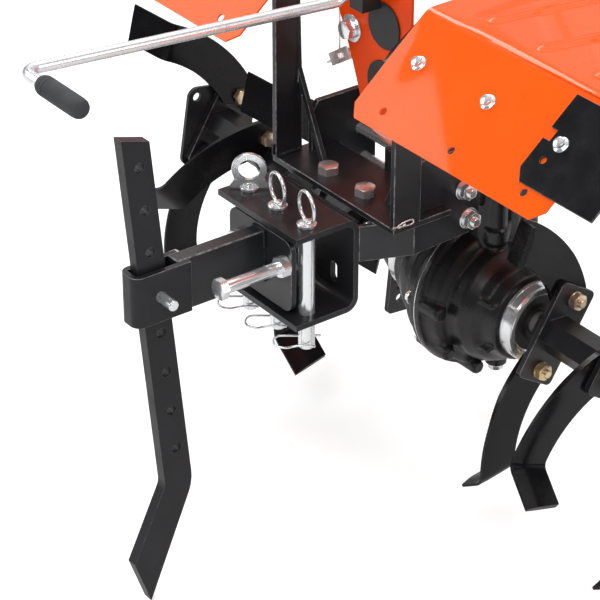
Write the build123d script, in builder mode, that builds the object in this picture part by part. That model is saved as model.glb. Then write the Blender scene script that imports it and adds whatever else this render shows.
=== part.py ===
from build123d import *
from math import cos, radians, sin, sqrt
import os

# Tilling unit of a walk-behind rotavator, in millimetres
# Origin: centre of the front mounting face. +Y forward, +Z up, +X the machine's right

# Front mounting face of the gear case
MOUNT_W = 150
MOUNT_H = 110
MOUNT_T = 14
MOUNT_HOLE_X = 110
MOUNT_HOLE_Z = 80
MOUNT_HOLE_R = 5.5

# Axle line and gear case
AXLE_Y = -88
AXLE_Z = -158
AXLE_R = 12.5
BEARING_GAP = 0.05
CASE_X = 21
CASE_FLANGE_R = 84
CASE_FLANGE_T = 7.2
CASE_BARREL_R = 64
CASE_BARREL_END = 63
CASE_NOSE_R = 47
CASE_NOSE_END = 81
RING_R = 42
RING_W = 16.5
NECK_W = 66
NECK_REAR_Y = -112
NECK_FRONT_Y = -34
NECK_TOP_Z = 66
COLUMN_Y = -96
COLUMN_R = 11
COLLAR_R = 13.5
LUG_REAR_Y = -190
LUG_LOW_Z = -45
LUG_HIGH_Z = 20
DRAIN_X = 53

# Chassis bracket
PLATE_T = 6
BEAM_HALF = 96
BEAM_REAR_Y = -261
BEAM_FRONT_Y = -191
BEAM_TOP_Z = -4
SIDE_HALF = 84
SIDE_LOW_Z = -48
SIDE_HIGH_Z = 50
SIDE_REAR_Y = -226
SIDE_FRONT_Y = -146
UPRIGHT_W = 32
TAB_W = 54
TAB_T = 5
STUD_R = 5
STUD_LOW = (-160, -28.5)
STUD_HIGH = (-166, 5)
STUD_REACH = 98
STAY_Y = -229

# Hitch box and its pins
BOX_HALF = 63
BOX_REAR_Y = -350
BOX_DEPTH = 74
BOX_H = 99.3
BOX_T = 6
BOX_BEND_R = 14
PIN_R = 8
PIN_HEAD_R = 9.5
PIN_GAP = 0.05
PIN_Y = -325
PIN_SPACING = 46
PIN_LOW_Z = -132
EYE_TURN = 53
EYE_R = 17
EYE_HOLE_R = 10.5
EYE_T = 4
RING_TURN = 80
WIRE_R = 1.8
CLIP_R = 1.3
CLIP_UP = 12
CLIP_TURN = 233.4
CLIP_HEEL = 14
CLIP_LEG = 30

# Swivel bracket, drawbar and clamp
BRACKET_HALF = 50
BRACKET_REAR_Y = -346
BRACKET_T = 6
BRACKET_GAP = 5.5
BRACKET_TOP_Z = -BOX_T - BRACKET_GAP
BRACKET_LOW_Z = BOX_T + BRACKET_GAP - BOX_H
TONGUE_HALF = 30
TONGUE_R = 20
ADJUST_RIGHT = (42, -37)
ADJUST_LEFT = (-32, -41)
ADJUST_R = 6.3
ADJUST_REACH = 71
ADJUST_IN = 8
BAR_HALF = 8
BAR_TOP_Z = -15
BAR_LOW_Z = -70
STRAP_T = 6
STRAP_FRONT_Y = -434
STRAP_REAR_Y = -497

# Depth stake
STAKE_T = 12
STAKE_W = 32
STAKE_TOP_REAR = (-501, 125)
STAKE_TOP_FRONT = (-470.6, 116)
STAKE_KNEE_REAR = (-465.5, -259)
STAKE_KNEE_FRONT = (-433.5, -266)
STAKE_TIP_REAR = (-503.5, -338)
STAKE_TIP_FRONT = (-486, -388)
STAKE_KNEE_R = 20
STAKE_HOLE_R = 5.3
STAKE_PITCH = 45
STAKE_HOLES = 8
STAKE_PINNED = 3
STAKE_PIN_Y = -469
STAKE_PIN_Z = -41.6
STAKE_LEAN = 5.7
STAKE_PIN_R = 5.25
STAKE_PIN_REACH = 36

# Fenders
FENDER_MID_X = 11
FENDER_INNER = 89
FENDER_OUTER = 348
FENDER_T = 2
FENDER_LOW = (-321.5, 137.6)
FENDER_FOLD = (-228.7, 213.6)
FENDER_TOP_FRONT = (-30, 216)
FENDER_FRONT = (45, 165)
FENDER_CLIP = 11
FLAP_INNER = 296
FLAP_OUTER = 395
FLAP_LOW = 17
FENDER_BOLT_X = (121, 216.5, 309.6)
FENDER_BOLT_Y = -265.5
FENDER_BOLT_R = 7.5

# Rear panel
PANEL_Y = -208
PANEL_LEFT = -58
PANEL_RIGHT = 54
PANEL_TOP_Z = 235
PLUG_R = 23.5
PLUG_X = 15
PLUG_HIGH_Z = 162
PLUG_LOW_Z = 102

# Gear selector rod
ROD_R = 5.5
ROD_END_Y = -593
ROD_END_Z = 218.3
ROD_BEND_Y = -256
ROD_BEND_Z = 192.8
ROD_FRONT_Y = -226
ROD_FRONT_Z = 206
GRIP_R = 9.5
GRIP_START = 31
GRIP_END = 95

# Rotors
HUB_FLAT = 18
HUB_BORE_R = 15
HUB_BORE_L = 40
CROSS_OFF = 395.5
CROSS_R = 4
HUB_START = 126
HUB_END = 468
SECTION_FIRST = 142
SECTION_STEP = 107
SECTIONS = 4
ROTOR_MID_X = 12.5
FLANGE_T = 6
FLANGE_L = 105
FLANGE_W = 50
EAR_SIDE = 95
EAR_T = 4
EAR_TURN = -9
EAR_HOLE_OFF = 36
TINE_T = 6
TINE_W = 42
TINE_BOLT_OFF = 39
TINE_OUT = {"near": (47.5, 140, 46), "far": (57.5, 190, 38)}
TINE_IN = (-13.5, 145, 46)
TINE_BEND_R = 9
TINE_BEND = 60
TIP_LONG = 45
TIP_SHORT = 26
TUBE_NOTCH_R = 28
BOLT_R = 5
BOLT_HOLE_R = 5.4
HEAD_R = 8
HEAD_H = 6.5
NUT_H = 8
BOLT_END = 5
PHASES = {"near": (58, 148), "far": (118, 58)}
TAB_SIZE = (31, 74)
TAB_PLACE = (7, -59)
TAB_LEAN = -5.4
TAB_HOLES = ((3, -64, 3), (5, -79, 5))

os.makedirs("parts", exist_ok=True)


def save(shape, name):
    shape.label = name
    export_step(shape, f"parts/{name}.step")


# Gear case halves, one each side of the joint face
def case_half(side, name):
    inner = CASE_X
    flange = inner + side * CASE_FLANGE_T
    barrel = inner + side * CASE_BARREL_END
    nose = inner + side * CASE_NOSE_END
    with BuildPart() as half:
        with BuildSketch(Plane.XZ.offset(-AXLE_Y)) as profile:
            with BuildLine():
                Polyline(
                    (inner, AXLE_Z + AXLE_R + BEARING_GAP),
                    (inner, AXLE_Z + CASE_FLANGE_R),
                    (flange, AXLE_Z + CASE_FLANGE_R),
                    (flange, AXLE_Z + CASE_BARREL_R - 2),
                    (flange + side * 8, AXLE_Z + CASE_BARREL_R - 2),
                    (flange + side * 14, AXLE_Z + CASE_BARREL_R + 2),
                    (barrel - side * 18, AXLE_Z + CASE_BARREL_R),
                    (barrel - side * 6, AXLE_Z + CASE_BARREL_R - 6),
                    (barrel + side * 1, AXLE_Z + CASE_NOSE_R + 3),
                    (nose - side * 2, AXLE_Z + CASE_NOSE_R),
                    (nose, AXLE_Z + CASE_NOSE_R - 2),
                    (nose, AXLE_Z + AXLE_R + BEARING_GAP),
                    close=True,
                )
            make_face()
        revolve(axis=Axis((0, AXLE_Y, AXLE_Z), (1, 0, 0)))
    save(half.part, name)
    return half.part


case_near = case_half(1, "case_near")
case_far = case_half(-1, "case_far")

# Neck of the gear case with the front mounting face and the rear lug
with BuildPart() as neck:
    with BuildSketch(Plane.XY.offset(AXLE_Z + CASE_NOSE_R)):
        with Locations((CASE_X, (NECK_REAR_Y + NECK_FRONT_Y) / 2)):
            RectangleRounded(NECK_W, NECK_FRONT_Y - NECK_REAR_Y, 12)
    extrude(amount=NECK_TOP_Z - AXLE_Z - CASE_NOSE_R)
    for radius, low, high in ((COLUMN_R, -110, NECK_TOP_Z), (COLLAR_R, -88, -72), (COLLAR_R, -14, 10)):
        with BuildSketch(Plane.XY.offset(low)):
            with Locations((CASE_X + NECK_W / 2, COLUMN_Y)):
                Circle(radius)
        extrude(amount=high - low)
    add(case_near, mode=Mode.SUBTRACT)
    add(case_far, mode=Mode.SUBTRACT)
    with BuildSketch(Plane.XZ):
        RectangleRounded(MOUNT_W, MOUNT_H, 10)
    extrude(amount=MOUNT_T)
    with Locations((CASE_X / 2, (NECK_FRONT_Y - MOUNT_T) / 2, 0)):
        Box(86, NECK_FRONT_Y * -1 - MOUNT_T + 2, 84)
    with Locations((CASE_X, (LUG_REAR_Y + NECK_REAR_Y) / 2, (LUG_LOW_Z + LUG_HIGH_Z) / 2)):
        Box(NECK_W - 8, NECK_REAR_Y - LUG_REAR_Y + 2, LUG_HIGH_Z - LUG_LOW_Z)
    with BuildSketch(Plane.XZ):
        with GridLocations(MOUNT_HOLE_X, MOUNT_HOLE_Z, 2, 2):
            Circle(MOUNT_HOLE_R)
    extrude(amount=MOUNT_T, mode=Mode.SUBTRACT)
    with BuildSketch(Plane.YZ.offset(-200)):
        with Locations(STUD_LOW, STUD_HIGH):
            Circle(STUD_R)
    extrude(amount=400, mode=Mode.SUBTRACT)
save(neck.part, "case_neck")

# Drain boss with its plug
with BuildPart() as drain:
    with BuildSketch(Plane.XY.offset(AXLE_Z - CASE_BARREL_R - 12)):
        with Locations((DRAIN_X, AXLE_Y)):
            Circle(11)
    extrude(amount=16)
    with BuildSketch(Plane.XY.offset(AXLE_Z - CASE_BARREL_R - 18)):
        with Locations((DRAIN_X, AXLE_Y)):
            RegularPolygon(7, 6, major_radius=False)
    extrude(amount=6)
    add(case_near, mode=Mode.SUBTRACT)
save(drain.part, "drain_plug")

# Bright rings that close the case at the axle
for side, name in ((1, "ring_near"), (-1, "ring_far")):
    with BuildPart() as ring:
        start = CASE_X + side * CASE_NOSE_END
        with BuildSketch(Plane.YZ.offset(min(start, start + side * RING_W))):
            with Locations((AXLE_Y, AXLE_Z)):
                Circle(RING_R)
                Circle(AXLE_R + 2, mode=Mode.SUBTRACT)
        extrude(amount=RING_W)
    save(ring.part, name)

# Studs through both side plates and the lug, with washers and nuts
for place, name in ((STUD_HIGH, "stud_high"), (STUD_LOW, "stud_low")):
    with BuildPart() as stud:
        with BuildSketch(Plane.YZ.offset(-STUD_REACH)):
            with Locations(place):
                Circle(STUD_R)
        extrude(amount=2 * STUD_REACH)
        for start, radius, width, sides in (
            (SIDE_HALF, 11, 2, 0),
            (SIDE_HALF + 2, 8, 8, 6),
            (-SIDE_HALF - 2, 11, 2, 0),
            (-SIDE_HALF - 10, 8, 8, 6),
        ):
            with BuildSketch(Plane.YZ.offset(start)):
                with Locations(place):
                    if sides:
                        RegularPolygon(radius, sides, major_radius=False)
                    else:
                        Circle(radius)
            extrude(amount=width)
    save(stud.part, name)

# Beam between the side plates, with the throat that carries the hitch box
with BuildPart() as beam:
    with BuildSketch(Plane.XY.offset(BEAM_TOP_Z - PLATE_T)):
        with BuildLine():
            Polyline(
                (-BEAM_HALF, BEAM_REAR_Y),
                (BEAM_HALF, BEAM_REAR_Y),
                (BEAM_HALF, BEAM_FRONT_Y),
                (-BEAM_HALF, BEAM_FRONT_Y),
                close=True,
            )
        make_face()
    extrude(amount=PLATE_T)
    box_front = BOX_REAR_Y + BOX_DEPTH
    with BuildSketch(Plane.XY.offset(SIDE_LOW_Z)):
        with BuildLine():
            Polyline(
                (BOX_HALF - PLATE_T, box_front),
                (BOX_HALF, box_front),
                (SIDE_HALF, SIDE_REAR_Y),
                (SIDE_HALF - PLATE_T, SIDE_REAR_Y),
                close=True,
            )
        make_face()
        mirror(about=Plane.YZ)
    extrude(amount=BEAM_TOP_Z - SIDE_LOW_Z - PLATE_T)
save(beam.part, "beam")

# Side plates of the chassis bracket
for side, name in ((1, "side_plate_right"), (-1, "side_plate_left")):
    low_x = SIDE_HALF - PLATE_T if side > 0 else -SIDE_HALF
    with BuildPart() as plate:
        with BuildSketch(Plane.YZ.offset(low_x)):
            with BuildLine():
                Polyline(
                    (SIDE_REAR_Y, SIDE_LOW_Z),
                    (SIDE_FRONT_Y - 12, SIDE_LOW_Z + 3),
                    (SIDE_FRONT_Y, SIDE_LOW_Z + 14),
                    (SIDE_FRONT_Y, SIDE_HIGH_Z - 20),
                    (SIDE_FRONT_Y - 20, SIDE_HIGH_Z),
                    (SIDE_REAR_Y + 8, SIDE_HIGH_Z),
                    (SIDE_REAR_Y, SIDE_HIGH_Z - 12),
                    close=True,
                )
            make_face()
            with Locations(STUD_LOW, STUD_HIGH):
                Circle(STUD_R, mode=Mode.SUBTRACT)
        extrude(amount=PLATE_T)
        add(beam.part, mode=Mode.SUBTRACT)
    save(plate.part, name)

# Two hex bolts on the beam
with BuildPart() as beam_bolts:
    for spot in ((-34, -239), (23, -238)):
        with BuildSketch(Plane.XY.offset(BEAM_TOP_Z)):
            with Locations(spot):
                RegularPolygon(9.5, 6, major_radius=False)
        extrude(amount=8.5)
save(beam_bolts.part, "beam_bolts")

# Hitch box, a channel open to the rear
with BuildPart() as hitch_box:
    with BuildSketch(Plane.YZ.offset(-BOX_HALF)):
        for inset, mode in ((0, Mode.ADD), (BOX_T, Mode.SUBTRACT)):
            with BuildLine():
                FilletPolyline(
                    (BOX_REAR_Y, -inset),
                    (box_front - inset, -inset),
                    (box_front - inset, inset - BOX_H),
                    (BOX_REAR_Y, inset - BOX_H),
                    radius=BOX_BEND_R - inset,
                )
                Line((BOX_REAR_Y, inset - BOX_H), (BOX_REAR_Y, -inset))
            make_face(mode=mode)
    extrude(amount=2 * BOX_HALF)
    with BuildSketch(Plane.XY.offset(-BOX_H)):
        with Locations((-PIN_SPACING, PIN_Y), (0, PIN_Y), (PIN_SPACING, PIN_Y)):
            Circle(PIN_R)
    extrude(amount=BOX_H, mode=Mode.SUBTRACT)
    with BuildSketch(Plane.XZ.offset(-BOX_REAR_Y - BOX_DEPTH)):
        with Locations((-32, -70), (32, -70)):
            SlotOverall(22, 10, rotation=90)
    extrude(amount=BOX_T, mode=Mode.SUBTRACT)
save(hitch_box.part, "hitch_box")

# Uprights that carry the fenders on a sloping tab, with a diagonal stay each
slope = (FENDER_FOLD[1] - FENDER_LOW[1]) / (FENDER_FOLD[0] - FENDER_LOW[0])
tab_drop = TAB_T * sqrt(1 + slope * slope)
tab_rear = BEAM_REAR_Y - 12
tab_front = BEAM_REAR_Y + UPRIGHT_W
for side, name in ((1, "upright_right"), (-1, "upright_left")):
    low_x = BEAM_HALF - PLATE_T if side > 0 else -BEAM_HALF
    rear_z = FENDER_LOW[1] + slope * (tab_rear - FENDER_LOW[0])
    front_z = FENDER_LOW[1] + slope * (tab_front - FENDER_LOW[0])
    with BuildPart() as upright:
        with BuildSketch(Plane.YZ.offset(low_x)):
            with BuildLine():
                Polyline(
                    (BEAM_REAR_Y, BEAM_TOP_Z),
                    (tab_front, BEAM_TOP_Z),
                    (tab_front, front_z - tab_drop),
                    (BEAM_REAR_Y, rear_z + slope * (BEAM_REAR_Y - tab_rear) - tab_drop),
                    close=True,
                )
            make_face()
        extrude(amount=PLATE_T)
        with BuildSketch(Plane.YZ.offset(low_x if side > 0 else low_x + PLATE_T)):
            with BuildLine():
                Polyline(
                    (tab_rear, rear_z - tab_drop),
                    (tab_front, front_z - tab_drop),
                    (tab_front, front_z),
                    (tab_rear, rear_z),
                    close=True,
                )
            make_face()
        extrude(amount=side * TAB_W)
        with BuildSketch(Plane.XZ.offset(-STAY_Y)):
            with BuildLine():
                Polyline(
                    (side * (BEAM_HALF - PLATE_T), 85),
                    (side * (BEAM_HALF - PLATE_T), 70),
                    (side * 55, BEAM_TOP_Z),
                    (side * 47, BEAM_TOP_Z),
                    close=True,
                )
            make_face()
        extrude(amount=5)
    save(upright.part, name)


# Fender of one side, a folded sheet with clipped rear corners
def fender(side, name):
    inner = FENDER_MID_X + side * FENDER_INNER
    outer = FENDER_MID_X + side * FENDER_OUTER
    low_x = min(inner, outer)
    with BuildPart() as sheet:
        with BuildSketch(Plane.YZ.offset(low_x)):
            with BuildLine():
                rim = Polyline(FENDER_LOW, FENDER_FOLD, FENDER_TOP_FRONT, FENDER_FRONT)
                offset(rim, amount=FENDER_T, side=Side.LEFT)
            make_face()
        extrude(amount=abs(outer - inner))
        with BuildSketch(Plane.XY.offset(FENDER_LOW[1] - 40)):
            for edge, turn in ((inner, side), (outer, -side)):
                with BuildLine():
                    Polyline(
                        (edge, FENDER_LOW[0] - 5),
                        (edge + turn * (FENDER_CLIP + 5), FENDER_LOW[0] - 5),
                        (edge, FENDER_LOW[0] + FENDER_CLIP),
                        close=True,
                    )
                make_face()
        extrude(amount=90, mode=Mode.SUBTRACT)
        with BuildSketch(Plane.XY.offset(FENDER_LOW[1] - 10)):
            for spot in (36, 131, 226):
                with Locations((inner + side * spot, FENDER_LOW[0] + 14)):
                    Circle(4)
        extrude(amount=80, mode=Mode.SUBTRACT)
    save(sheet.part, name)


fender(1, "fender_right")
fender(-1, "fender_left")


# Outer flap of one side, on top of the fender's slope
def flap(side, name):
    inner = FENDER_MID_X + side * FLAP_INNER
    outer = FENDER_MID_X + side * FLAP_OUTER
    lift = FENDER_T * sqrt(1 + slope * slope)
    low_y = FENDER_LOW[0] + FLAP_LOW
    low = (low_y, FENDER_LOW[1] + slope * FLAP_LOW + lift)
    top_y = FENDER_FOLD[0] - 6
    top = (top_y, FENDER_LOW[1] + slope * (top_y - FENDER_LOW[0]) + lift)
    with BuildPart() as sheet:
        with BuildSketch(Plane.YZ.offset(min(inner, outer))):
            with BuildLine():
                rim = Line(low, top)
                offset(rim, amount=FENDER_T, side=Side.LEFT)
            make_face()
        extrude(amount=abs(outer - inner))
        with BuildSketch(Plane.XY.offset(low[1] - 30)):
            with BuildLine():
                Polyline(
                    (inner, low_y - 5),
                    (inner + side * 13, low_y - 5),
                    (inner, low_y + 8),
                    close=True,
                )
            make_face()
        extrude(amount=70, mode=Mode.SUBTRACT)
    save(sheet.part, name)


flap(1, "flap_right")
flap(-1, "flap_left")

# Flange bolts on the fenders, the outer ones on the flaps
lean = sqrt(1 + slope * slope)
with BuildPart() as fender_bolts:
    for side in (1, -1):
        for spot in FENDER_BOLT_X:
            lift = FENDER_T * (2 if spot > FLAP_INNER else 1) * lean
            bolt_z = FENDER_LOW[1] + slope * (FENDER_BOLT_Y - FENDER_LOW[0]) + lift
            seat = Plane(
                origin=(FENDER_MID_X + side * spot, FENDER_BOLT_Y, bolt_z),
                x_dir=(1, 0, 0),
                z_dir=(0, -slope / lean, 1 / lean),
            )
            with BuildSketch(seat):
                Circle(FENDER_BOLT_R)
            extrude(amount=1.5)
            with BuildSketch(seat):
                RegularPolygon(5, 6, major_radius=False)
            extrude(amount=6)
save(fender_bolts.part, "fender_bolts")

# Rear panel with its floor that stands on the neck
with BuildPart() as panel:
    with BuildSketch(Plane.XZ.offset(-PANEL_Y)):
        with BuildLine():
            edge_low = (PANEL_LEFT + 38, 72)
            edge_mid = (PANEL_LEFT + 22, 112)
            edge_high = (PANEL_LEFT, 158)
            curve = Spline(edge_low, edge_mid, edge_high)
            Polyline(
                edge_high,
                (PANEL_LEFT, PANEL_TOP_Z),
                (PANEL_RIGHT, PANEL_TOP_Z),
                (PANEL_RIGHT, 72),
                edge_low,
            )
        make_face()
        with Locations((PLUG_X, PLUG_HIGH_Z), (PLUG_X, PLUG_LOW_Z)):
            Circle(PLUG_R - 3, mode=Mode.SUBTRACT)
    extrude(amount=3)
    with BuildSketch(Plane.XY.offset(NECK_TOP_Z)):
        with Locations((CASE_X - 2, (PANEL_Y + NECK_FRONT_Y) / 2)):
            Rectangle(68, NECK_FRONT_Y - PANEL_Y + 6)
    extrude(amount=PLATE_T)
save(panel.part, "rear_panel")

# Black plugs in the rear panel
with BuildPart() as plugs:
    with BuildSketch(Plane.XZ.offset(-PANEL_Y + 3)):
        with Locations((PLUG_X, PLUG_HIGH_Z), (PLUG_X, PLUG_LOW_Z)):
            Circle(PLUG_R)
    extrude(amount=2)
save(plugs.part, "panel_plugs")


# Hitch pins, the left one with a flat eye and the others with a ring
eye_dir = (cos(radians(EYE_TURN)), sin(radians(EYE_TURN)), 0)
eye_face = (sin(radians(EYE_TURN)), -cos(radians(EYE_TURN)), 0)
ring_dir = (cos(radians(RING_TURN)), sin(radians(RING_TURN)), 0)
clip_dir = (cos(radians(CLIP_TURN)), sin(radians(CLIP_TURN)), 0)
for x, name in ((-PIN_SPACING, "hitch_pin_left"), (0, "hitch_pin_middle"), (PIN_SPACING, "hitch_pin_right")):
    with BuildPart() as hitch_pin:
        with BuildSketch(Plane.XY.offset(PIN_LOW_Z)):
            with Locations((x, PIN_Y)):
                Circle(PIN_R)
        extrude(amount=-PIN_LOW_Z)
        with BuildSketch(Plane.XY):
            with Locations((x, PIN_Y)):
                Circle(PIN_HEAD_R)
        extrude(amount=3.5)
        with BuildSketch(Plane(origin=(x, PIN_Y, PIN_LOW_Z + CLIP_UP), z_dir=clip_dir)):
            Circle(CLIP_R)
        extrude(amount=PIN_R + 1, both=True, mode=Mode.SUBTRACT)
        if x < 0:
            eye = Plane(origin=(x, PIN_Y, 3), x_dir=eye_dir, z_dir=eye_face)
            with BuildSketch(eye.offset(-EYE_T / 2)):
                with Locations((0, EYE_R + 1)):
                    Circle(EYE_R)
                with Locations((0, 3)):
                    Trapezoid(2 * EYE_R + 4, 8, 62)
                with Locations((0, EYE_R + 1)):
                    Circle(EYE_HOLE_R, mode=Mode.SUBTRACT)
            extrude(amount=EYE_T)
        else:
            with Locations(Plane(origin=(x, PIN_Y, 3 + EYE_R), z_dir=ring_dir).location):
                Torus(EYE_R - WIRE_R, WIRE_R)
    save(hitch_pin.part, name)

# Wire clips through the lower ends of the pins, a straight leg and a hairpin back beside the pin
clip_z = PIN_LOW_Z + CLIP_UP
clip_side = PIN_R + 2 * CLIP_R
clips = []
for x in (-PIN_SPACING, 0, PIN_SPACING):
    pin_place = Plane(origin=(x, PIN_Y, clip_z), x_dir=clip_dir, z_dir=(0, 0, 1))
    heel = pin_place.from_local_coords((-CLIP_HEEL, 0, 0))
    leg_end = pin_place.from_local_coords((CLIP_LEG, 0, 0))
    turn_mid = pin_place.from_local_coords((CLIP_LEG + 6, clip_side / 2, -4))
    back_start = pin_place.from_local_coords((CLIP_LEG, clip_side, -8))
    back_end = pin_place.from_local_coords((-4, clip_side, -8))
    with BuildPart() as clip:
        with BuildLine() as route:
            Line(heel, leg_end)
            ThreePointArc(leg_end, turn_mid, back_start)
            Line(back_start, back_end)
        with BuildSketch(Plane(origin=route.line @ 0, z_dir=route.line % 0)):
            Circle(CLIP_R)
        sweep()
    clips.append(clip.part)
save(Compound(children=clips), "pin_clips")

# Swivel bracket round the middle pin
with BuildPart() as bracket:
    height = BRACKET_TOP_Z - BRACKET_LOW_Z
    with BuildSketch(Plane.XZ.offset(-BRACKET_REAR_Y - BRACKET_T)):
        with Locations((0, (BRACKET_TOP_Z + BRACKET_LOW_Z) / 2)):
            RectangleRounded(2 * BRACKET_HALF, height, 12)
    extrude(amount=BRACKET_T)
    for low in (BRACKET_LOW_Z, BRACKET_TOP_Z - BRACKET_T):
        with BuildSketch(Plane.XY.offset(low)):
            tongue_rear = BRACKET_REAR_Y + BRACKET_T
            with Locations((0, (tongue_rear + PIN_Y) / 2)):
                Rectangle(2 * TONGUE_HALF, PIN_Y - tongue_rear)
            with Locations((0, PIN_Y)):
                Circle(TONGUE_R)
                Circle(PIN_R + PIN_GAP, mode=Mode.SUBTRACT)
        extrude(amount=BRACKET_T)
    with BuildSketch(Plane.XZ.offset(-BRACKET_REAR_Y - BRACKET_T)):
        with Locations(ADJUST_LEFT, ADJUST_RIGHT):
            Circle(ADJUST_R)
    extrude(amount=BRACKET_T, mode=Mode.SUBTRACT)
save(bracket.part, "swivel_bracket")

# Adjusting bolts either side of the drawbar
for place, name in ((ADJUST_RIGHT, "adjust_bolt_right"), (ADJUST_LEFT, "adjust_bolt_left")):
    with BuildPart() as adjuster:
        for start, width, radius, sides in (
            (ADJUST_REACH, ADJUST_REACH + ADJUST_IN, ADJUST_R, 0),
            (ADJUST_REACH + 8, 8, 9.5, 6),
            (10, 10, 9.5, 6),
        ):
            with BuildSketch(Plane.XZ.offset(start - BRACKET_REAR_Y)):
                with Locations(place):
                    if sides:
                        RegularPolygon(radius, sides, major_radius=False)
                    else:
                        Circle(radius)
            extrude(amount=-width)
    save(adjuster.part, name)

# Drawbar between the swivel bracket and the clamp
with BuildPart() as drawbar:
    bar_rear = STRAP_FRONT_Y - 12
    with Locations((0, (BRACKET_REAR_Y + bar_rear) / 2, (BAR_TOP_Z + BAR_LOW_Z) / 2)):
        Box(2 * BAR_HALF, BRACKET_REAR_Y - bar_rear, BAR_TOP_Z - BAR_LOW_Z)
save(drawbar.part, "drawbar")

# Strap clamp wrapped round the stake
with BuildPart() as clamp:
    outer_half = BAR_HALF + STRAP_T
    with BuildSketch(Plane.XY.offset(BAR_LOW_Z + 1)) as strap:
        with Locations((0, (STRAP_FRONT_Y + STRAP_REAR_Y) / 2)):
            Rectangle(2 * outer_half, STRAP_FRONT_Y - STRAP_REAR_Y)
        fillet(strap.vertices().group_by(Axis.Y)[0], 10)
        with Locations((0, (STRAP_FRONT_Y + STRAP_REAR_Y + STRAP_T) / 2)):
            Rectangle(2 * BAR_HALF, STRAP_FRONT_Y - STRAP_REAR_Y - STRAP_T, mode=Mode.SUBTRACT)
    extrude(amount=BAR_TOP_Z - BAR_LOW_Z - 2)
    with BuildSketch(Plane.YZ.offset(-outer_half)):
        with Locations((STAKE_PIN_Y, STAKE_PIN_Z)):
            Circle(STAKE_PIN_R)
    extrude(amount=2 * outer_half, mode=Mode.SUBTRACT)
save(clamp.part, "stake_clamp")

# Depth stake, a flat bar with a row of holes and a bent lower leg
with BuildPart() as stake:
    with BuildSketch(Plane.YZ.offset(-STAKE_T / 2)):
        with BuildLine():
            FilletPolyline(STAKE_TOP_REAR, STAKE_KNEE_REAR, STAKE_TIP_REAR, radius=STAKE_KNEE_R)
            FilletPolyline(STAKE_TOP_FRONT, STAKE_KNEE_FRONT, STAKE_TIP_FRONT, radius=STAKE_KNEE_R + STAKE_W)
            Line(STAKE_TOP_REAR, STAKE_TOP_FRONT)
            Line(STAKE_TIP_REAR, STAKE_TIP_FRONT)
        make_face()
        for index in range(STAKE_HOLES):
            run = (index - STAKE_PINNED) * STAKE_PITCH
            hole_y = STAKE_PIN_Y + run * sin(radians(STAKE_LEAN))
            hole_z = STAKE_PIN_Z - run * cos(radians(STAKE_LEAN))
            with Locations((hole_y, hole_z)):
                Circle(STAKE_HOLE_R, mode=Mode.SUBTRACT)
    extrude(amount=STAKE_T)
save(stake.part, "depth_stake")

# Pin that holds the stake in the clamp
with BuildPart() as stake_pin:
    with BuildSketch(Plane.YZ.offset(-STAKE_PIN_REACH + 8)):
        with Locations((STAKE_PIN_Y, STAKE_PIN_Z)):
            Circle(STAKE_PIN_R)
    extrude(amount=2 * STAKE_PIN_REACH - 8)
save(stake_pin.part, "stake_pin")

# Gear selector rod with its bend, and the rubber grip
with BuildPart() as rod:
    with BuildLine() as run:
        front = (0, ROD_FRONT_Y, ROD_FRONT_Z)
        rise = (0, ROD_BEND_Y, ROD_BEND_Z)
        corner = (0, ROD_END_Y, ROD_END_Z)
        FilletPolyline(front, rise, corner, (GRIP_START + 20, ROD_END_Y, ROD_END_Z), radius=14)
    with BuildSketch(Plane(origin=run.line @ 0, z_dir=run.line % 0)):
        Circle(ROD_R)
    sweep()
save(rod.part, "selector_rod")

with BuildPart() as grip:
    with BuildSketch(Plane.YZ.offset(GRIP_START)):
        with Locations((ROD_END_Y, ROD_END_Z)):
            Circle(GRIP_R)
    extrude(amount=GRIP_END - GRIP_START)
    with BuildSketch(Plane.YZ.offset(GRIP_START)):
        with Locations((ROD_END_Y, ROD_END_Z)):
            Circle(ROD_R)
    extrude(amount=20, mode=Mode.SUBTRACT)
save(grip.part, "selector_grip")

# Selector block on the rear panel that holds the rod's front end
with BuildPart() as selector:
    with Locations((0, (PANEL_Y - 5 + ROD_FRONT_Y - 8) / 2, ROD_FRONT_Z - 7)):
        Box(20, PANEL_Y - 5 - ROD_FRONT_Y + 8, 42)
    add(rod.part, mode=Mode.SUBTRACT)
save(selector.part, "selector_block")

# Rotor axle through the gear case
hub_ends = {1: (HUB_START, HUB_END), -1: (2 * ROTOR_MID_X - HUB_END, 2 * ROTOR_MID_X - HUB_START)}
with BuildPart() as axle:
    with BuildSketch(Plane.YZ.offset(hub_ends[-1][0] + HUB_BORE_L)):
        with Locations((AXLE_Y, AXLE_Z)):
            Circle(AXLE_R)
    extrude(amount=hub_ends[1][1] - hub_ends[-1][0] - 2 * HUB_BORE_L)
save(axle.part, "rotor_axle")

# Hexagon hub tubes, one each side, with a wider bore and a cross pin hole at the end
for side, name in ((1, "hub_near"), (-1, "hub_far")):
    with BuildPart() as hub:
        with BuildSketch(Plane.YZ.offset(hub_ends[side][0])):
            with Locations(Location((AXLE_Y, AXLE_Z, 0), (0, 0, PHASES[name[4:]][0]))):
                RegularPolygon(HUB_FLAT, 6, major_radius=False)
            with Locations((AXLE_Y, AXLE_Z)):
                Circle(AXLE_R, mode=Mode.SUBTRACT)
        extrude(amount=HUB_END - HUB_START)
        end_x = hub_ends[side][1] if side > 0 else hub_ends[side][0]
        with BuildSketch(Plane.YZ.offset(end_x)):
            with Locations((AXLE_Y, AXLE_Z)):
                Circle(HUB_BORE_R)
        extrude(amount=-side * HUB_BORE_L, mode=Mode.SUBTRACT)
        with BuildSketch(Plane.XY.offset(AXLE_Z)):
            with Locations((ROTOR_MID_X + side * CROSS_OFF, AXLE_Y)):
                Circle(CROSS_R)
        extrude(amount=2 * HUB_FLAT, mode=Mode.SUBTRACT)
    save(hub.part, name)


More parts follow.
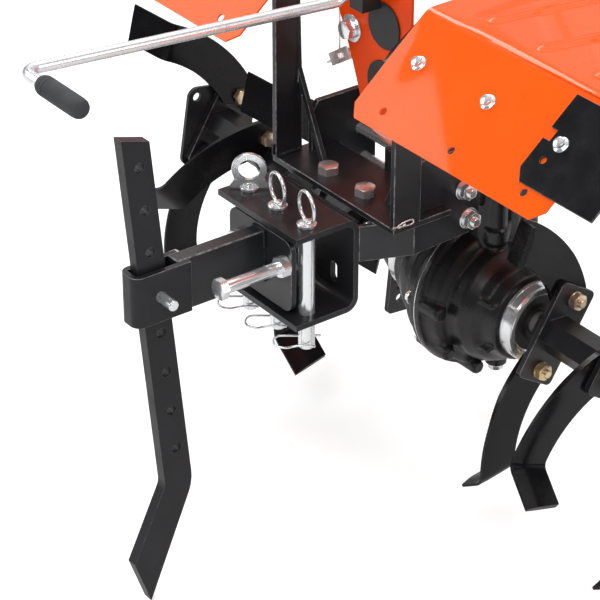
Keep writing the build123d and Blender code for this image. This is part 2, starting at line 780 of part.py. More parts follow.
# One tine about its bolt: a curved blade and a bent tip, in the YZ plane and along X
def tine_shape(tip_side, kind, tip_length, place):
    turn, arc_r, arc_degrees = kind
    arc = radians(arc_degrees)
    bend = radians(TINE_BEND)
    half = TINE_W / 2

    def on_arc(radius, angle):
        return (radius * sin(angle), arc_r - radius * cos(angle))

    end = on_arc(arc_r, arc)
    with BuildPart() as tine:
        with BuildSketch(Plane.YZ):
            with BuildLine():
                ThreePointArc((0, -half), on_arc(arc_r + half, arc / 2), on_arc(arc_r + half, arc))
                Line(on_arc(arc_r + half, arc), on_arc(arc_r - half, arc))
                ThreePointArc(on_arc(arc_r - half, arc), on_arc(arc_r - half, arc / 2), (0, half))
                ThreePointArc((0, half), (-half, 0), (0, -half))
            make_face()
            with Locations((-TINE_BOLT_OFF * cos(radians(turn)), TINE_BOLT_OFF * sin(radians(turn)))):
                Circle(TUBE_NOTCH_R, mode=Mode.SUBTRACT)
            Circle(BOLT_HOLE_R, mode=Mode.SUBTRACT)
        extrude(amount=TINE_T)
        edge = Plane(
            origin=(TINE_T / 2, end[0] - half * -sin(arc), end[1] - half * cos(arc)),
            x_dir=(0, cos(arc), sin(arc)),
            z_dir=(0, -sin(arc), cos(arc)),
        )
        flip = -tip_side
        back = TINE_BEND_R + TINE_T / 2
        near_r = TINE_BEND_R
        far_r = TINE_BEND_R + TINE_T
        bend_end = (far_r * sin(bend), back - far_r * cos(bend))
        tip_far = (bend_end[0] + tip_length * cos(bend), bend_end[1] + tip_length * sin(bend))
        tip_near = (tip_far[0] - TINE_T * sin(bend), tip_far[1] + TINE_T * cos(bend))
        with BuildSketch(edge):
            with BuildLine():
                ThreePointArc(
                    (0, flip * -TINE_T / 2),
                    (far_r * sin(bend / 2), flip * (back - far_r * cos(bend / 2))),
                    (bend_end[0], flip * bend_end[1]),
                )
                Polyline(
                    (bend_end[0], flip * bend_end[1]),
                    (tip_far[0], flip * tip_far[1]),
                    (tip_near[0], flip * tip_near[1]),
                    (near_r * sin(bend), flip * (back - near_r * cos(bend))),
                )
                ThreePointArc(
                    (near_r * sin(bend), flip * (back - near_r * cos(bend))),
                    (near_r * sin(bend / 2), flip * (back - near_r * cos(bend / 2))),
                    (0, flip * TINE_T / 2),
                )
                Line((0, flip * TINE_T / 2), (0, flip * -TINE_T / 2))
            make_face()
        extrude(amount=TINE_W)
    return place * tine.part


# Sections of each rotor: a flange plate, two tines and their bolts
for side, label in ((1, "near"), (-1, "far")):
    bolts = []
    for index in range(SECTIONS):
        reach = SECTION_FIRST + index * SECTION_STEP
        outer_face = reach if side > 0 else 2 * ROTOR_MID_X - reach
        inner_face = outer_face - side * FLANGE_T
        phase = PHASES[label][index % 2]
        first_out = side < 0 and index == 0
        with BuildPart() as flange:
            with BuildSketch(Plane.YZ.offset(min(outer_face, inner_face))):
                with Locations(Location((AXLE_Y, AXLE_Z, 0), (0, 0, phase))):
                    RectangleRounded(FLANGE_L, FLANGE_W, 6)
                if first_out:
                    with Locations(Location((AXLE_Y + TAB_PLACE[0], AXLE_Z + TAB_PLACE[1], 0), (0, 0, TAB_LEAN))):
                        RectangleRounded(TAB_SIZE[0], TAB_SIZE[1], 6)
                    for hole_y, hole_z, hole_r in TAB_HOLES:
                        with Locations((AXLE_Y + hole_y, AXLE_Z + hole_z)):
                            Circle(hole_r, mode=Mode.SUBTRACT)
                with Locations(Location((AXLE_Y, AXLE_Z, 0), (0, 0, phase))):
                    with Locations((TINE_BOLT_OFF, 0), (-TINE_BOLT_OFF, 0)):
                        Circle(BOLT_HOLE_R, mode=Mode.SUBTRACT)
                with Locations(Location((AXLE_Y, AXLE_Z, 0), (0, 0, PHASES[label][0]))):
                    RegularPolygon(HUB_FLAT, 6, major_radius=False, mode=Mode.SUBTRACT)
            extrude(amount=FLANGE_T)
        save(flange.part, f"flange_{label}_{index + 1}")
        tine_low = inner_face - TINE_T if side > 0 else inner_face
        pair = []
        inward = (phase + 180, TINE_IN, side if first_out else -side, TIP_LONG if index else TIP_SHORT)
        for angle, kind, tip, tip_length in ((phase, TINE_OUT[label], side, TIP_LONG), inward):
            bolt_y = AXLE_Y + TINE_BOLT_OFF * cos(radians(angle))
            bolt_z = AXLE_Z + TINE_BOLT_OFF * sin(radians(angle))
            place = Location((tine_low, bolt_y, bolt_z), (angle + kind[0], 0, 0))
            pair.append(tine_shape(tip, kind, tip_length, place))
            nut_face = outer_face + side * (EAR_T if index == SECTIONS - 1 else 0)
            bolts.append((nut_face, inner_face - side * TINE_T, bolt_y, bolt_z))
        save(Compound(children=pair), f"tines_{label}_{index + 1}")
    with BuildPart() as bolt_set:
        for nut_face, head_face, bolt_y, bolt_z in bolts:
            shank_end = nut_face + side * (NUT_H + BOLT_END)
            for start, end, radius, sides in (
                (head_face - side * HEAD_H, head_face, HEAD_R, 6),
                (nut_face, nut_face + side * NUT_H, HEAD_R, 6),
                (head_face, shank_end, BOLT_R, 0),
            ):
                with BuildSketch(Plane.YZ.offset(start)):
                    with Locations((bolt_y, bolt_z)):
                        if sides:
                            RegularPolygon(radius, sides, major_radius=False)
                        else:
                            Circle(radius)
                extrude(amount=end - start)
    save(bolt_set.part, f"tine_bolts_{label}")

# Ear plates outside the outer sections
for side, label in ((1, "near"), (-1, "far")):
    reach = SECTION_FIRST + (SECTIONS - 1) * SECTION_STEP
    face = reach if side > 0 else 2 * ROTOR_MID_X - reach
    phase = PHASES[label][(SECTIONS - 1) % 2]
    with BuildPart() as ear:
        with BuildSketch(Plane.YZ.offset(face)):
            with Locations(Location((AXLE_Y, AXLE_Z, 0), (0, 0, EAR_TURN))):
                RectangleRounded(EAR_SIDE, EAR_SIDE, 12)
                with GridLocations(2 * EAR_HOLE_OFF, 2 * EAR_HOLE_OFF, 2, 2):
                    Circle(5, mode=Mode.SUBTRACT)
            with Locations(Location((AXLE_Y, AXLE_Z, 0), (0, 0, PHASES[label][0]))):
                RegularPolygon(HUB_FLAT, 6, major_radius=False, mode=Mode.SUBTRACT)
            with Locations(Location((AXLE_Y, AXLE_Z, 0), (0, 0, phase))):
                with Locations((TINE_BOLT_OFF, 0), (-TINE_BOLT_OFF, 0)):
                    Circle(BOLT_HOLE_R, mode=Mode.SUBTRACT)
        extrude(amount=side * EAR_T)
    save(ear.part, f"ear_plate_{label}")
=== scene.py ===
import math
import random

import bmesh
import bpy
from mathutils import Matrix, Vector

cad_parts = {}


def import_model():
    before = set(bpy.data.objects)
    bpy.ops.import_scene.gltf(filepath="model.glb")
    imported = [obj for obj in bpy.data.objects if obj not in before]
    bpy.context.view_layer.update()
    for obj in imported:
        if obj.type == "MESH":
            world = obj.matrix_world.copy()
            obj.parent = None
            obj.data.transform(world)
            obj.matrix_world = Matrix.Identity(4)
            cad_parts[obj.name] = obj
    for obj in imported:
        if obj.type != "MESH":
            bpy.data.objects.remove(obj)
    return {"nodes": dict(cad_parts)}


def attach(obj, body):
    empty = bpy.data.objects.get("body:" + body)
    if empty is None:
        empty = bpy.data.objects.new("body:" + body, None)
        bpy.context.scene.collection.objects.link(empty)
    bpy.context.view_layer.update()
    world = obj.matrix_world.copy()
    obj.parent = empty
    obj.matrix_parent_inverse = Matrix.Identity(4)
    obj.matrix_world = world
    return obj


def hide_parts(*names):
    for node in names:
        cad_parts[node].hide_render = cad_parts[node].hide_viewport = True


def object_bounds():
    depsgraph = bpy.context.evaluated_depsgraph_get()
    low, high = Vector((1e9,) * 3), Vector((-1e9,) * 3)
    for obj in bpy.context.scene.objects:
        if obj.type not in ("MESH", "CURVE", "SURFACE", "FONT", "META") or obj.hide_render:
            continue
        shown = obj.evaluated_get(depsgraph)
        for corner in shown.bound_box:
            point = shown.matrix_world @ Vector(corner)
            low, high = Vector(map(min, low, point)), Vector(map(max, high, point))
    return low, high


# Camera at the photograph's angle
scene = bpy.context.scene
camera_data = bpy.data.cameras.new("camera")
camera_data.sensor_width = 36
camera_data.lens = 156
camera_data.clip_end = 50
camera = bpy.data.objects.new("camera", camera_data)
camera.location = (1.751708, -1.599385, 1.173241)
camera.rotation_euler = (math.radians(90 - 30.493), 0, math.radians(53.404))
scene.collection.objects.link(camera)
scene.camera = camera

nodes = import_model()["nodes"]
cad_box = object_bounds()
MM = 0.001

# Places shared with the CAD source, in millimetres in the row frame
AXLE = (-88, -158)  # y, z
CASE_X = 21
ROTOR_MID_X = 12.5
SECTION_FIRST, SECTION_STEP, SECTIONS = 142, 107, 4
FLANGE_T, EAR_T, TINE_T, TINE_W = 6, 4, 6, 42
TINE_BOLT_OFF, TINE_BOLT_R = 39, 5
# Turn against the flange, arc radius and arc of each kind of tine
TINE_OUT = {"near": (47.5, 140, 46), "far": (57.5, 190, 38)}
TINE_IN = (-13.5, 145, 46)
TINE_BEND_R, TINE_BEND, TIP_SKEW = 9, 60, 8
TIP_LONG, TIP_SHORT = 45, 26
NOTCH_R = 28
PHASES = {"near": (58, 148), "far": (118, 58)}
FENDER_MID_X, FENDER_INNER, FENDER_OUTER, FENDER_T = 11, 89, 348, 2
FENDER_RIM = ((-321.5, 137.6), (-228.7, 213.6), (-30, 216), (45, 165))  # y, z
SLOPE = (FENDER_RIM[1][1] - FENDER_RIM[0][1]) / (FENDER_RIM[1][0] - FENDER_RIM[0][0])
FENDER_CLIP = 11
FENDER_BOLT_X, FENDER_BOLT_Y = (121, 216.5, 309.6), -265.5
PIN_Y, PIN_SPACING, PIN_LOW_Z, PIN_R = -325, 46, -132, 8
SIDE_PLATE_X = 84
STUDS, STUD_R = ((-160, -28.5), (-166, 5)), 5  # y, z
BEAM_TOP_Z, BEAM_BOLTS = -4, ((-34, -239), (23, -238))  # x, y
ADJUST_NUT_Y, ADJUST_HEAD_Y = -346, -417
ADJUST_BOLTS = {"right": (42, -37), "left": (-32, -41)}  # x, z

RIGHT, AHEAD, UP = Vector((1, 0, 0)), Vector((0, 1, 0)), Vector((0, 0, 1))
BACK, DOWN = (0, -1, 0), (0, 0, -1)
SHARP = 32  # degrees between faces, from which an edge is kept and rounded


# Materials made of nodes
def node(tree, kind, **values):
    """A node with these values set on its sockets or, where it has none such, on itself."""
    made = tree.nodes.new(kind)
    for key, value in values.items():
        if key in made.inputs:
            made.inputs[key].default_value = value
        else:
            setattr(made, key, value)
    return made


def material(name, color, **sockets):
    made = bpy.data.materials.new(name)
    made.use_nodes = True
    shader = made.node_tree.nodes["Principled BSDF"]
    shader.inputs["Base Color"].default_value = (*color, 1)
    for key, value in sockets.items():
        shader.inputs[key].default_value = value
    return made, made.node_tree, shader


def noise(tree, scale, detail=4, rough=0.55):
    coords = node(tree, "ShaderNodeTexCoord")
    made = node(tree, "ShaderNodeTexNoise", Scale=scale, Detail=detail, Roughness=rough)
    tree.links.new(coords.outputs["Object"], made.inputs["Vector"])
    return made.outputs["Fac"]


def ramp(tree, source, stops):
    made = node(tree, "ShaderNodeValToRGB")
    elements = made.color_ramp.elements
    while len(elements) < len(stops):
        elements.new(0.5)
    for element, (place, color) in zip(elements, stops):
        element.position = place
        element.color = (*color, 1)
    tree.links.new(source, made.inputs["Fac"])
    return made.outputs["Color"]


def vary(tree, shader, socket, source, stops):
    """Lets this socket follow the source through a ramp."""
    tree.links.new(ramp(tree, source, stops), shader.inputs[socket])


def grey(value):
    return (value, value, value)


def bump(tree, shader, source, strength, distance):
    """Adds a bump on top of those that the shader already has."""
    made = node(tree, "ShaderNodeBump", Strength=strength, Distance=distance)
    tree.links.new(source, made.inputs["Height"])
    previous = shader.inputs["Normal"]
    if previous.is_linked:
        tree.links.new(previous.links[0].from_socket, made.inputs["Normal"])
    tree.links.new(made.outputs["Normal"], previous)


def mix(tree, factor, first, second):
    made = node(tree, "ShaderNodeMix", data_type="RGBA")
    tree.links.new(factor, made.inputs["Factor"])
    for value, name in ((first, "A"), (second, "B")):
        socket = next(s for s in made.inputs if s.name == name and s.type == "RGBA")
        if isinstance(value, tuple):
            socket.default_value = (*value, 1)
        else:
            tree.links.new(value, socket)
    return next(s for s in made.outputs if s.type == "RGBA")


def black_coat(name, color, dust, grain, rough, relief, shine=0.5):
    """Black paint with clouds, flecks of dust and a fine grain."""
    made, tree, shader = material(name, color, Roughness=rough)
    shader.inputs["Specular IOR Level"].default_value = shine
    cloud = ramp(tree, noise(tree, 14), ((0.35, color), (0.75, tuple(c * 1.6 for c in color))))
    flecks = ramp(tree, noise(tree, 900, 2), ((0.68, grey(0)), (0.76, grey(0.5))))
    tree.links.new(mix(tree, flecks, cloud, dust), shader.inputs["Base Color"])
    spread = ((0.3, grey(rough - 0.07)), (0.7, grey(rough + 0.09)))
    vary(tree, shader, "Roughness", noise(tree, 40), spread)
    bump(tree, shader, noise(tree, grain, 3), relief, 0.0006)
    return made


def edge_coat(name, color, worn_and_highlight, amount):
    """The coat on rounded edges, rubbed through in places; the pale coat on the tine edges is
    partly a painted highlight.
    """
    made, tree, shader = material(name, color, Roughness=0.36)
    rubs_and_highlights = ramp(
        tree, noise(tree, 130, 5, 0.7), ((0.42, grey(0.12 * amount)), (0.58, grey(amount)))
    )
    tree.links.new(mix(tree, rubs_and_highlights, color, worn_and_highlight), shader.inputs["Base Color"])
    return made


def orange(name, color, dark, coat):
    """Orange paint under a clear coat, on a sheet that isn't quite flat."""
    made, tree, shader = material(name, color, Roughness=0.3)
    shader.inputs["Specular IOR Level"].default_value = 0.08
    shader.inputs["Coat Weight"].default_value = coat
    shader.inputs["Coat Roughness"].default_value = 0.05
    vary(tree, shader, "Base Color", noise(tree, 9, 3), ((0.3, color), (0.75, dark)))
    vary(tree, shader, "Roughness", noise(tree, 60), ((0.3, grey(0.26)), (0.7, grey(0.34))))
    bump(tree, shader, noise(tree, 420, 2), 0.05, 0.0004)
    bump(tree, shader, noise(tree, 16, 2), 0.12, 0.003)
    return made


def plated(name, low, middle, high, rough):
    """Zinc plating, whose tint drifts between three colours."""
    made, tree, shader = material(name, low, Metallic=0.82, Roughness=rough)
    tints = ((0.3, low), (0.5, middle), (0.7, high))
    vary(tree, shader, "Base Color", noise(tree, 30, 5, 0.6), tints)
    spread = ((0.3, grey(rough - 0.03)), (0.7, grey(rough + 0.05)))
    vary(tree, shader, "Roughness", noise(tree, 90), spread)
    bump(tree, shader, noise(tree, 260, 2), 0.02, 0.00005)
    return made


def moulded(name, color, rough, grain, relief, depth, clouds, low, high):
    """Grained rubber or plastic."""
    made, tree, shader = material(name, color, Roughness=rough)
    bump(tree, shader, noise(tree, grain, 3), relief, depth)
    vary(tree, shader, "Base Color", noise(tree, clouds), ((0.3, low), (0.7, high)))
    return made


ORANGE = orange("orange_paint", (1.0, 0.108, 0.0), (0.96, 0.096, 0.0), 0.42)
ORANGE_DARK = orange("orange_paint_shaded", (0.86, 0.066, 0.0), (0.74, 0.052, 0.0), 0.06)
DUST = (0.05, 0.05, 0.052)
BLACK = black_coat("black_powder_coat", (0.012, 0.0126, 0.0148), DUST, 420, 0.34, 0.12)
WORN = black_coat(
    "black_coat_worn", (0.009, 0.009, 0.011), (0.06, 0.06, 0.062), 300, 0.38, 0.16, 0.35
)
CAST = black_coat("black_cast_iron", (0.009, 0.009, 0.0102), DUST, 520, 0.32, 0.45, 0.45)
TINE_BLACK = black_coat("black_tine_paint", (0.0045, 0.0045, 0.0056), DUST, 480, 0.22, 0.1, 0.25)
EDGE = edge_coat("black_coat_edges", (0.03, 0.03, 0.032), (0.26, 0.26, 0.265), 0.8)
# Tine edges: partly rubbed paint, partly a painted highlight along the edges
TINE_EDGE_WEAR_AND_HIGHLIGHT = edge_coat("tine_edges_worn_and_painted_highlight", (0.14, 0.14, 0.142), (0.75, 0.75, 0.75), 1.0)
ZINC = plated("bright_zinc", (0.84, 0.87, 0.89), (0.9, 0.92, 0.93), (0.86, 0.88, 0.92), 0.2)
ROD_ZINC = plated("rod_zinc", (0.8, 0.81, 0.83), (0.86, 0.86, 0.88), (0.84, 0.83, 0.83), 0.26)
YELLOW = plated("yellow_zinc", (0.84, 0.66, 0.34), (0.9, 0.76, 0.5), (0.86, 0.62, 0.5), 0.28)
# Zinc whose pink tint is a painted reflection of the orange fenders and panel
PINK_REFLECTION_ZINC = plated("zinc_with_painted_orange_reflection", (0.78, 0.74, 0.74), (0.86, 0.76, 0.74), (0.8, 0.79, 0.81), 0.28)
RUBBER = moulded(
    "black_rubber", (0.03, 0.032, 0.035), 0.7, 900, 0.35, 0.0005,
    35, (0.022, 0.024, 0.027), (0.05, 0.053, 0.058),
)
PLASTIC = moulded(
    "black_plastic", (0.012, 0.013, 0.014), 0.5, 500, 0.25, 0.0004, 30, grey(0.008), grey(0.02)
)


# Meshes put together from simple generated surfaces, in millimetres in the row frame
def basis(axis):
    """Two directions square to the axis, and the axis itself."""
    axis = Vector(axis).normalized()
    up = UP if abs(axis.z) < 0.9 else AHEAD
    side = up.cross(axis).normalized()
    return side, axis.cross(side).normalized(), axis


def curve(points, steps=5):
    """A smooth curve through these points."""
    points = [Vector(p) for p in points]
    made = []
    for i in range(len(points) - 1):
        p0, p1 = points[max(i - 1, 0)], points[i]
        p2, p3 = points[i + 1], points[min(i + 2, len(points) - 1)]
        for k in range(steps):
            t = k / steps
            made.append(0.5 * (
                2 * p1 + (p2 - p0) * t + (2 * p0 - 5 * p1 + 4 * p2 - p3) * t * t
                + (3 * p1 - p0 - 3 * p2 + p3) * t ** 3
            ))
    made.append(points[-1])
    return made


def add_object(name, mesh):
    made = bpy.data.objects.new(name, mesh)
    scene.collection.objects.link(made)
    return made


class Shape:
    """Vertices and faces, with the material index that each new face gets."""

    def __init__(self):
        self.verts = []
        self.faces = []
        self.mats = []
        self.index = 0

    def add(self, verts, faces):
        base = len(self.verts)
        self.verts += [Vector(v) for v in verts]
        self.faces += [tuple(base + i for i in f) for f in faces]
        self.mats += [self.index] * len(faces)

    def rings(self, rings, closed_loop=False):
        """Joins rings of equally many points, with caps at both ends or round in a loop."""
        count = len(rings[0])
        verts = [p for ring in rings for p in ring]
        faces = []
        steps = len(rings) if closed_loop else len(rings) - 1
        for k in range(steps):
            a, b = k * count, ((k + 1) % len(rings)) * count
            for j in range(count):
                n = (j + 1) % count
                faces.append((a + j, a + n, b + n, b + j))
        if not closed_loop:
            faces.append(tuple(reversed(range(count))))
            faces.append(tuple(range((len(rings) - 1) * count, len(rings) * count)))
        self.add(verts, faces)

    def lathe(self, origin, axis, profile, segs=48, closed_loop=False):
        """Turns a profile of (distance along the axis, radius) about the axis."""
        ex, ey, ez = basis(axis)
        origin = Vector(origin)
        turns = [2 * math.pi * j / segs for j in range(segs)]
        rings = []
        for along, radius in profile:
            rings.append([
                origin + ez * along + ex * radius * math.cos(a) + ey * radius * math.sin(a)
                for a in turns
            ])
        self.rings(rings, closed_loop)

    def hexagon(self, origin, axis, flat, height, start=0, turn=0.0, both=False):
        """A hex head, or with both a nut chamfered on both faces; flat is half its width."""
        segs, chamfer = 48, 0.55
        ex, ey, ez = basis(axis)
        origin = Vector(origin)
        round_r = flat * 0.98
        rim = []
        for j in range(segs):
            angle = 2 * math.pi * j / segs
            local = (angle - turn) % (math.pi / 3) - math.pi / 6
            r = flat / math.cos(local)
            out = ex * math.cos(angle) + ey * math.sin(angle)
            rim.append((out, r, (r - round_r) * chamfer))
        rows = [[(out, r, 0) for out, r, cut in rim]]
        if both:
            rows = [[(out, round_r, 0) for out, r, cut in rim], rim]
        rows.append([(out, r, height - cut) for out, r, cut in rim])
        rows.append([(out, round_r, height) for out, r, cut in rim])
        self.rings([[origin + ez * (start + h) + out * r for out, r, h in row] for row in rows])

    def thread(self, origin, axis, radius, length, pitch):
        """A helical thread round a rod, with flat ends."""
        segs = 32
        depth = pitch * 0.42
        ex, ey, ez = basis(axis)
        origin = Vector(origin)
        rows = int(length / pitch * 2) + 4
        verts = []
        for k in range(-2, rows):
            for j in range(segs):
                along = min(max(pitch * (k / 2 + j / segs), 0), length)
                r = radius if k % 2 else radius - depth
                if along in (0, length):
                    r = radius - depth
                a = 2 * math.pi * j / segs
                verts.append(origin + ez * along + (ex * math.cos(a) + ey * math.sin(a)) * r)
        faces = []
        count = rows + 2
        for k in range(count - 1):
            for j in range(segs):
                a, b = k * segs + j, (k + 1) * segs + j
                if j < segs - 1:
                    faces.append((a, a + 1, b + 1, b))
                elif k + 3 < count:
                    faces.append((a, (k + 2) * segs, (k + 3) * segs, b))
        self.add(verts, faces)
        core = radius - depth + 0.02
        self.lathe(origin, axis, (
            (0, core - 0.6), (0.4, core), (length - 0.6, core), (length, core - 0.8),
        ), segs)

    def washer(self, origin, axis, inner, outer, thick, start=0, split=False):
        """A flat washer, or a spring washer with the mark of its split."""
        edge = min(0.4, thick / 4)
        profile = (
            (start, inner), (start, outer - edge), (start + edge, outer),
            (start + thick - edge, outer), (start + thick, outer - edge), (start + thick, inner),
        )
        self.lathe(origin, axis, profile, closed_loop=True)
        if split:
            ex, ey, ez = basis(axis)
            away = (ex * 0.4 - ey * 0.9) * ((inner + outer) / 2)
            center = Vector(origin) + ez * (start + thick / 2) + away
            self.block(center, (outer - inner) * 0.55, 0.7, thick * 0.7, (ex, ey, ez))

    def block(self, center, x, y, z, axes=(RIGHT, AHEAD, UP)):
        """A box that reaches x, y and z to either side of its centre."""
        ex, ey, ez = axes
        center = Vector(center)
        ends = (-1, 1)
        self.add([
            center + ex * x * a + ey * y * b + ez * z * c for c in ends for b in ends for a in ends
        ], (
            (0, 2, 3, 1), (4, 5, 7, 6), (0, 1, 5, 4), (2, 6, 7, 3), (0, 4, 6, 2), (1, 3, 7, 5),
        ))

    def tube(self, points, radius, segs=16, closed=False):
        """A round wire along these points; radius may be a function of the share along it."""
        points = [Vector(p) for p in points]
        count = len(points)
        rings = []
        side = None
        for i, p in enumerate(points):
            before = points[i - 1] if i or closed else p
            after = points[(i + 1) % count] if i < count - 1 or closed else p
            axis = (after - before).normalized()
            if side is None:
                side = basis(axis)[0]
            side = (side - axis * side.dot(axis)).normalized()
            up = axis.cross(side)
            r = radius(i / max(count - 1, 1)) if callable(radius) else radius
            turns = [2 * math.pi * j / segs for j in range(segs)]
            rings.append([p + (side * math.cos(a) + up * math.sin(a)) * r for a in turns])
        self.rings(rings, closed)

    def weld(self, start, end, radius, seed):
        """A weld bead of overlapping ripples between two points."""
        start, end = Vector(start), Vector(end)
        length = (end - start).length
        steps = max(int(length / 0.5), 8)
        rand = random.Random(seed)
        wobble = [rand.uniform(-0.12, 0.12) for _ in range(steps // 3 + 3)]
        side = basis(end - start)[0]

        def width(t):
            ripple = 0.12 * math.cos(2 * math.pi * t * length / 2.2)
            ends = min(1, t * length / radius + 0.3, (1 - t) * length / radius + 0.3)
            return radius * (1 + ripple + wobble[int(t * steps / 3)]) * ends

        points = [
            start + (end - start) * (i / steps) + side * wobble[i // 3] * radius * 0.6
            for i in range(steps + 1)
        ]
        self.tube(points, width, 10)

    def mesh(self, name):
        made = bpy.data.meshes.new(name)
        made.from_pydata([v * MM for v in self.verts], [], self.faces)
        return made

    def build(self, name, mats, body, stands_for, sharp=SHARP, bevel=0.0, edge=None):
        """The finished object, in place of the CAD nodes that stands_for names."""
        mesh = self.mesh(name)
        for each in mats if isinstance(mats, list) else [mats]:
            mesh.materials.append(each)
        mesh.polygons.foreach_set("material_index", self.mats)
        clean(mesh)
        made = add_object(name, mesh)
        soften(made, sharp, bevel, edge)
        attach(made, body)
        if stands_for:
            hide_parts(*stands_for)


def clean(mesh):
    """Merges doubled vertices and turns all faces outward."""
    work = bmesh.new()
    work.from_mesh(mesh)
    bmesh.ops.remove_doubles(work, verts=work.verts, dist=1e-5)
    bmesh.ops.dissolve_degenerate(work, edges=work.edges, dist=1e-6)
    bmesh.ops.recalc_face_normals(work, faces=work.faces)
    work.to_mesh(mesh)
    work.free()


def soften(made, sharp, bevel, edge=None):
    """Smooth shading between sharp edges, which are rounded and may get their own coat: worn paint,
    and on the tines partly a painted highlight.
    """
    if bevel:
        rounding = made.modifiers.new("rounded_edges", "BEVEL")
        rounding.width = bevel * MM
        rounding.segments = 3
        rounding.limit_method = "ANGLE"
        rounding.angle_limit = math.radians(sharp)
        rounding.use_clamp_overlap = True
        rounding.miter_outer = "MITER_ARC"
        if edge:
            made.data.materials.append(edge)
            rounding.material = len(made.data.materials) - 1
    made.data.shade_smooth()
    made.data.set_sharp_from_angle(angle=math.radians(sharp))
    if bevel:
        weights = made.modifiers.new("weighted_normals", "WEIGHTED_NORMAL")
        weights.keep_sharp = True
        weights.weight = 80


def mesh_copy(*names):
    """One clean mesh of these CAD nodes, in the row frame."""
    work = bmesh.new()
    for each in names:
        source = nodes[each]
        part = source.data.copy()
        part.transform(source.matrix_world)
        work.from_mesh(part)
        bpy.data.meshes.remove(part)
    bmesh.ops.remove_doubles(work, verts=work.verts, dist=1e-5)
    bmesh.ops.dissolve_limit(
        work, angle_limit=math.radians(0.6), verts=work.verts, edges=work.edges[:], delimit=set()
    )
    mesh = bpy.data.meshes.new(names[0])
    work.to_mesh(mesh)
    work.free()
    mesh.materials.clear()
    return mesh


def dress(name, mat, body, bevel, reshape=None):
    """The CAD node as a clean mesh with rounded edges and its finish."""
    mesh = mesh_copy(name)
    mesh.materials.append(mat)
    if reshape:
        reshape(mesh)
    made = add_object(name + "_skin", mesh)
    soften(made, SHARP, bevel, EDGE if mat in (BLACK, WORN) else None)
    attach(made, body)
    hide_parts(name)


def cut_away(made, shapes):
    """Cuts these closed shapes out of the object and applies its modifiers."""
    tools = []
    for shape in shapes:
        tools.append(add_object("cutter", shape.mesh("cutter")))
        cut = made.modifiers.new("cut", "BOOLEAN")
        cut.operation = "DIFFERENCE"
        cut.object = tools[-1]
        cut.solver = "EXACT"
    bpy.context.view_layer.update()
    bake(made)
    for tool in tools:
        bpy.data.objects.remove(tool)


def bake(made):
    """Applies the object's modifiers to its mesh."""
    graph = bpy.context.evaluated_depsgraph_get()
    mesh = bpy.data.meshes.new_from_object(made.evaluated_get(graph))
    made.modifiers.clear()
    made.data = mesh


# Stage: a pale floor under the stake tip, a pale world and soft lamps
def build_floor():
    reach = 30
    low = cad_box[0][2] - 0.001
    floor_mesh = bpy.data.meshes.new("floor")
    floor_mesh.from_pydata(
        [(-reach, -reach, low), (reach, -reach, low), (reach, reach, low), (-reach, reach, low)],
        [], [(0, 1, 2, 3)],
    )
    paint, tree, shader = material("floor_paint", (0.86, 0.86, 0.86), Roughness=0.9)
    path = node(tree, "ShaderNodeLightPath")
    glow = node(tree, "ShaderNodeEmission", Strength=0.42)
    both = node(tree, "ShaderNodeAddShader")
    pick = node(tree, "ShaderNodeMixShader")
    tree.links.new(shader.outputs[0], both.inputs[0])
    tree.links.new(glow.outputs[0], both.inputs[1])
    tree.links.new(path.outputs["Is Camera Ray"], pick.inputs[0])
    tree.links.new(shader.outputs[0], pick.inputs[1])
    tree.links.new(both.outputs[0], pick.inputs[2])
    tree.links.new(pick.outputs[0], tree.nodes["Material Output"].inputs["Surface"])
    floor_mesh.materials.append(paint)
    add_object("floor", floor_mesh)


def build_world():
    """White to the camera, softer as a light, and uneven where something mirrors it."""
    world = bpy.data.worlds.new("world")
    scene.world = world
    world.use_nodes = True
    tree = world.node_tree
    background = tree.nodes["Background"]
    background.inputs["Color"].default_value = (1, 1, 1, 1)
    path = node(tree, "ShaderNodeLightPath")
    level = node(tree, "ShaderNodeMapRange")
    level.inputs["To Max"].default_value = 1.0
    tree.links.new(path.outputs["Is Camera Ray"], level.inputs["Value"])
    tree.links.new(level.outputs["Result"], background.inputs["Strength"])
    # Reflections see a room with large soft panels, pale ahead and above, dark behind the camera
    coords = node(tree, "ShaderNodeTexCoord")
    facing = node(tree, "ShaderNodeVectorMath", operation="DOT_PRODUCT")
    facing.inputs[1].default_value = (-0.1, 0.66, 0.74)
    tree.links.new(coords.outputs["Generated"], facing.inputs[0])
    room = node(tree, "ShaderNodeMapRange")
    for key, value in (("From Min", 0.1), ("From Max", 0.95), ("To Min", 0.12), ("To Max", 1.0)):
        room.inputs[key].default_value = value
    tree.links.new(facing.outputs["Value"], room.inputs["Value"])
    patches = node(tree, "ShaderNodeTexNoise", Scale=3.2, Detail=1.0, Roughness=0.4)
    tree.links.new(coords.outputs["Generated"], patches.inputs["Vector"])
    screens = ramp(tree, patches.outputs["Fac"], ((0.42, grey(0.35)), (0.58, grey(1.0))))
    lit = node(tree, "ShaderNodeMath", operation="MULTIPLY")
    tree.links.new(room.outputs["Result"], lit.inputs[0])
    tree.links.new(screens, lit.inputs[1])
    ambient = node(tree, "ShaderNodeMapRange")
    ambient.inputs["To Min"].default_value = 0.47
    tree.links.new(path.outputs["Is Glossy Ray"], ambient.inputs["Value"])
    tree.links.new(lit.outputs[0], ambient.inputs["To Max"])
    tree.links.new(ambient.outputs["Result"], level.inputs["To Min"])


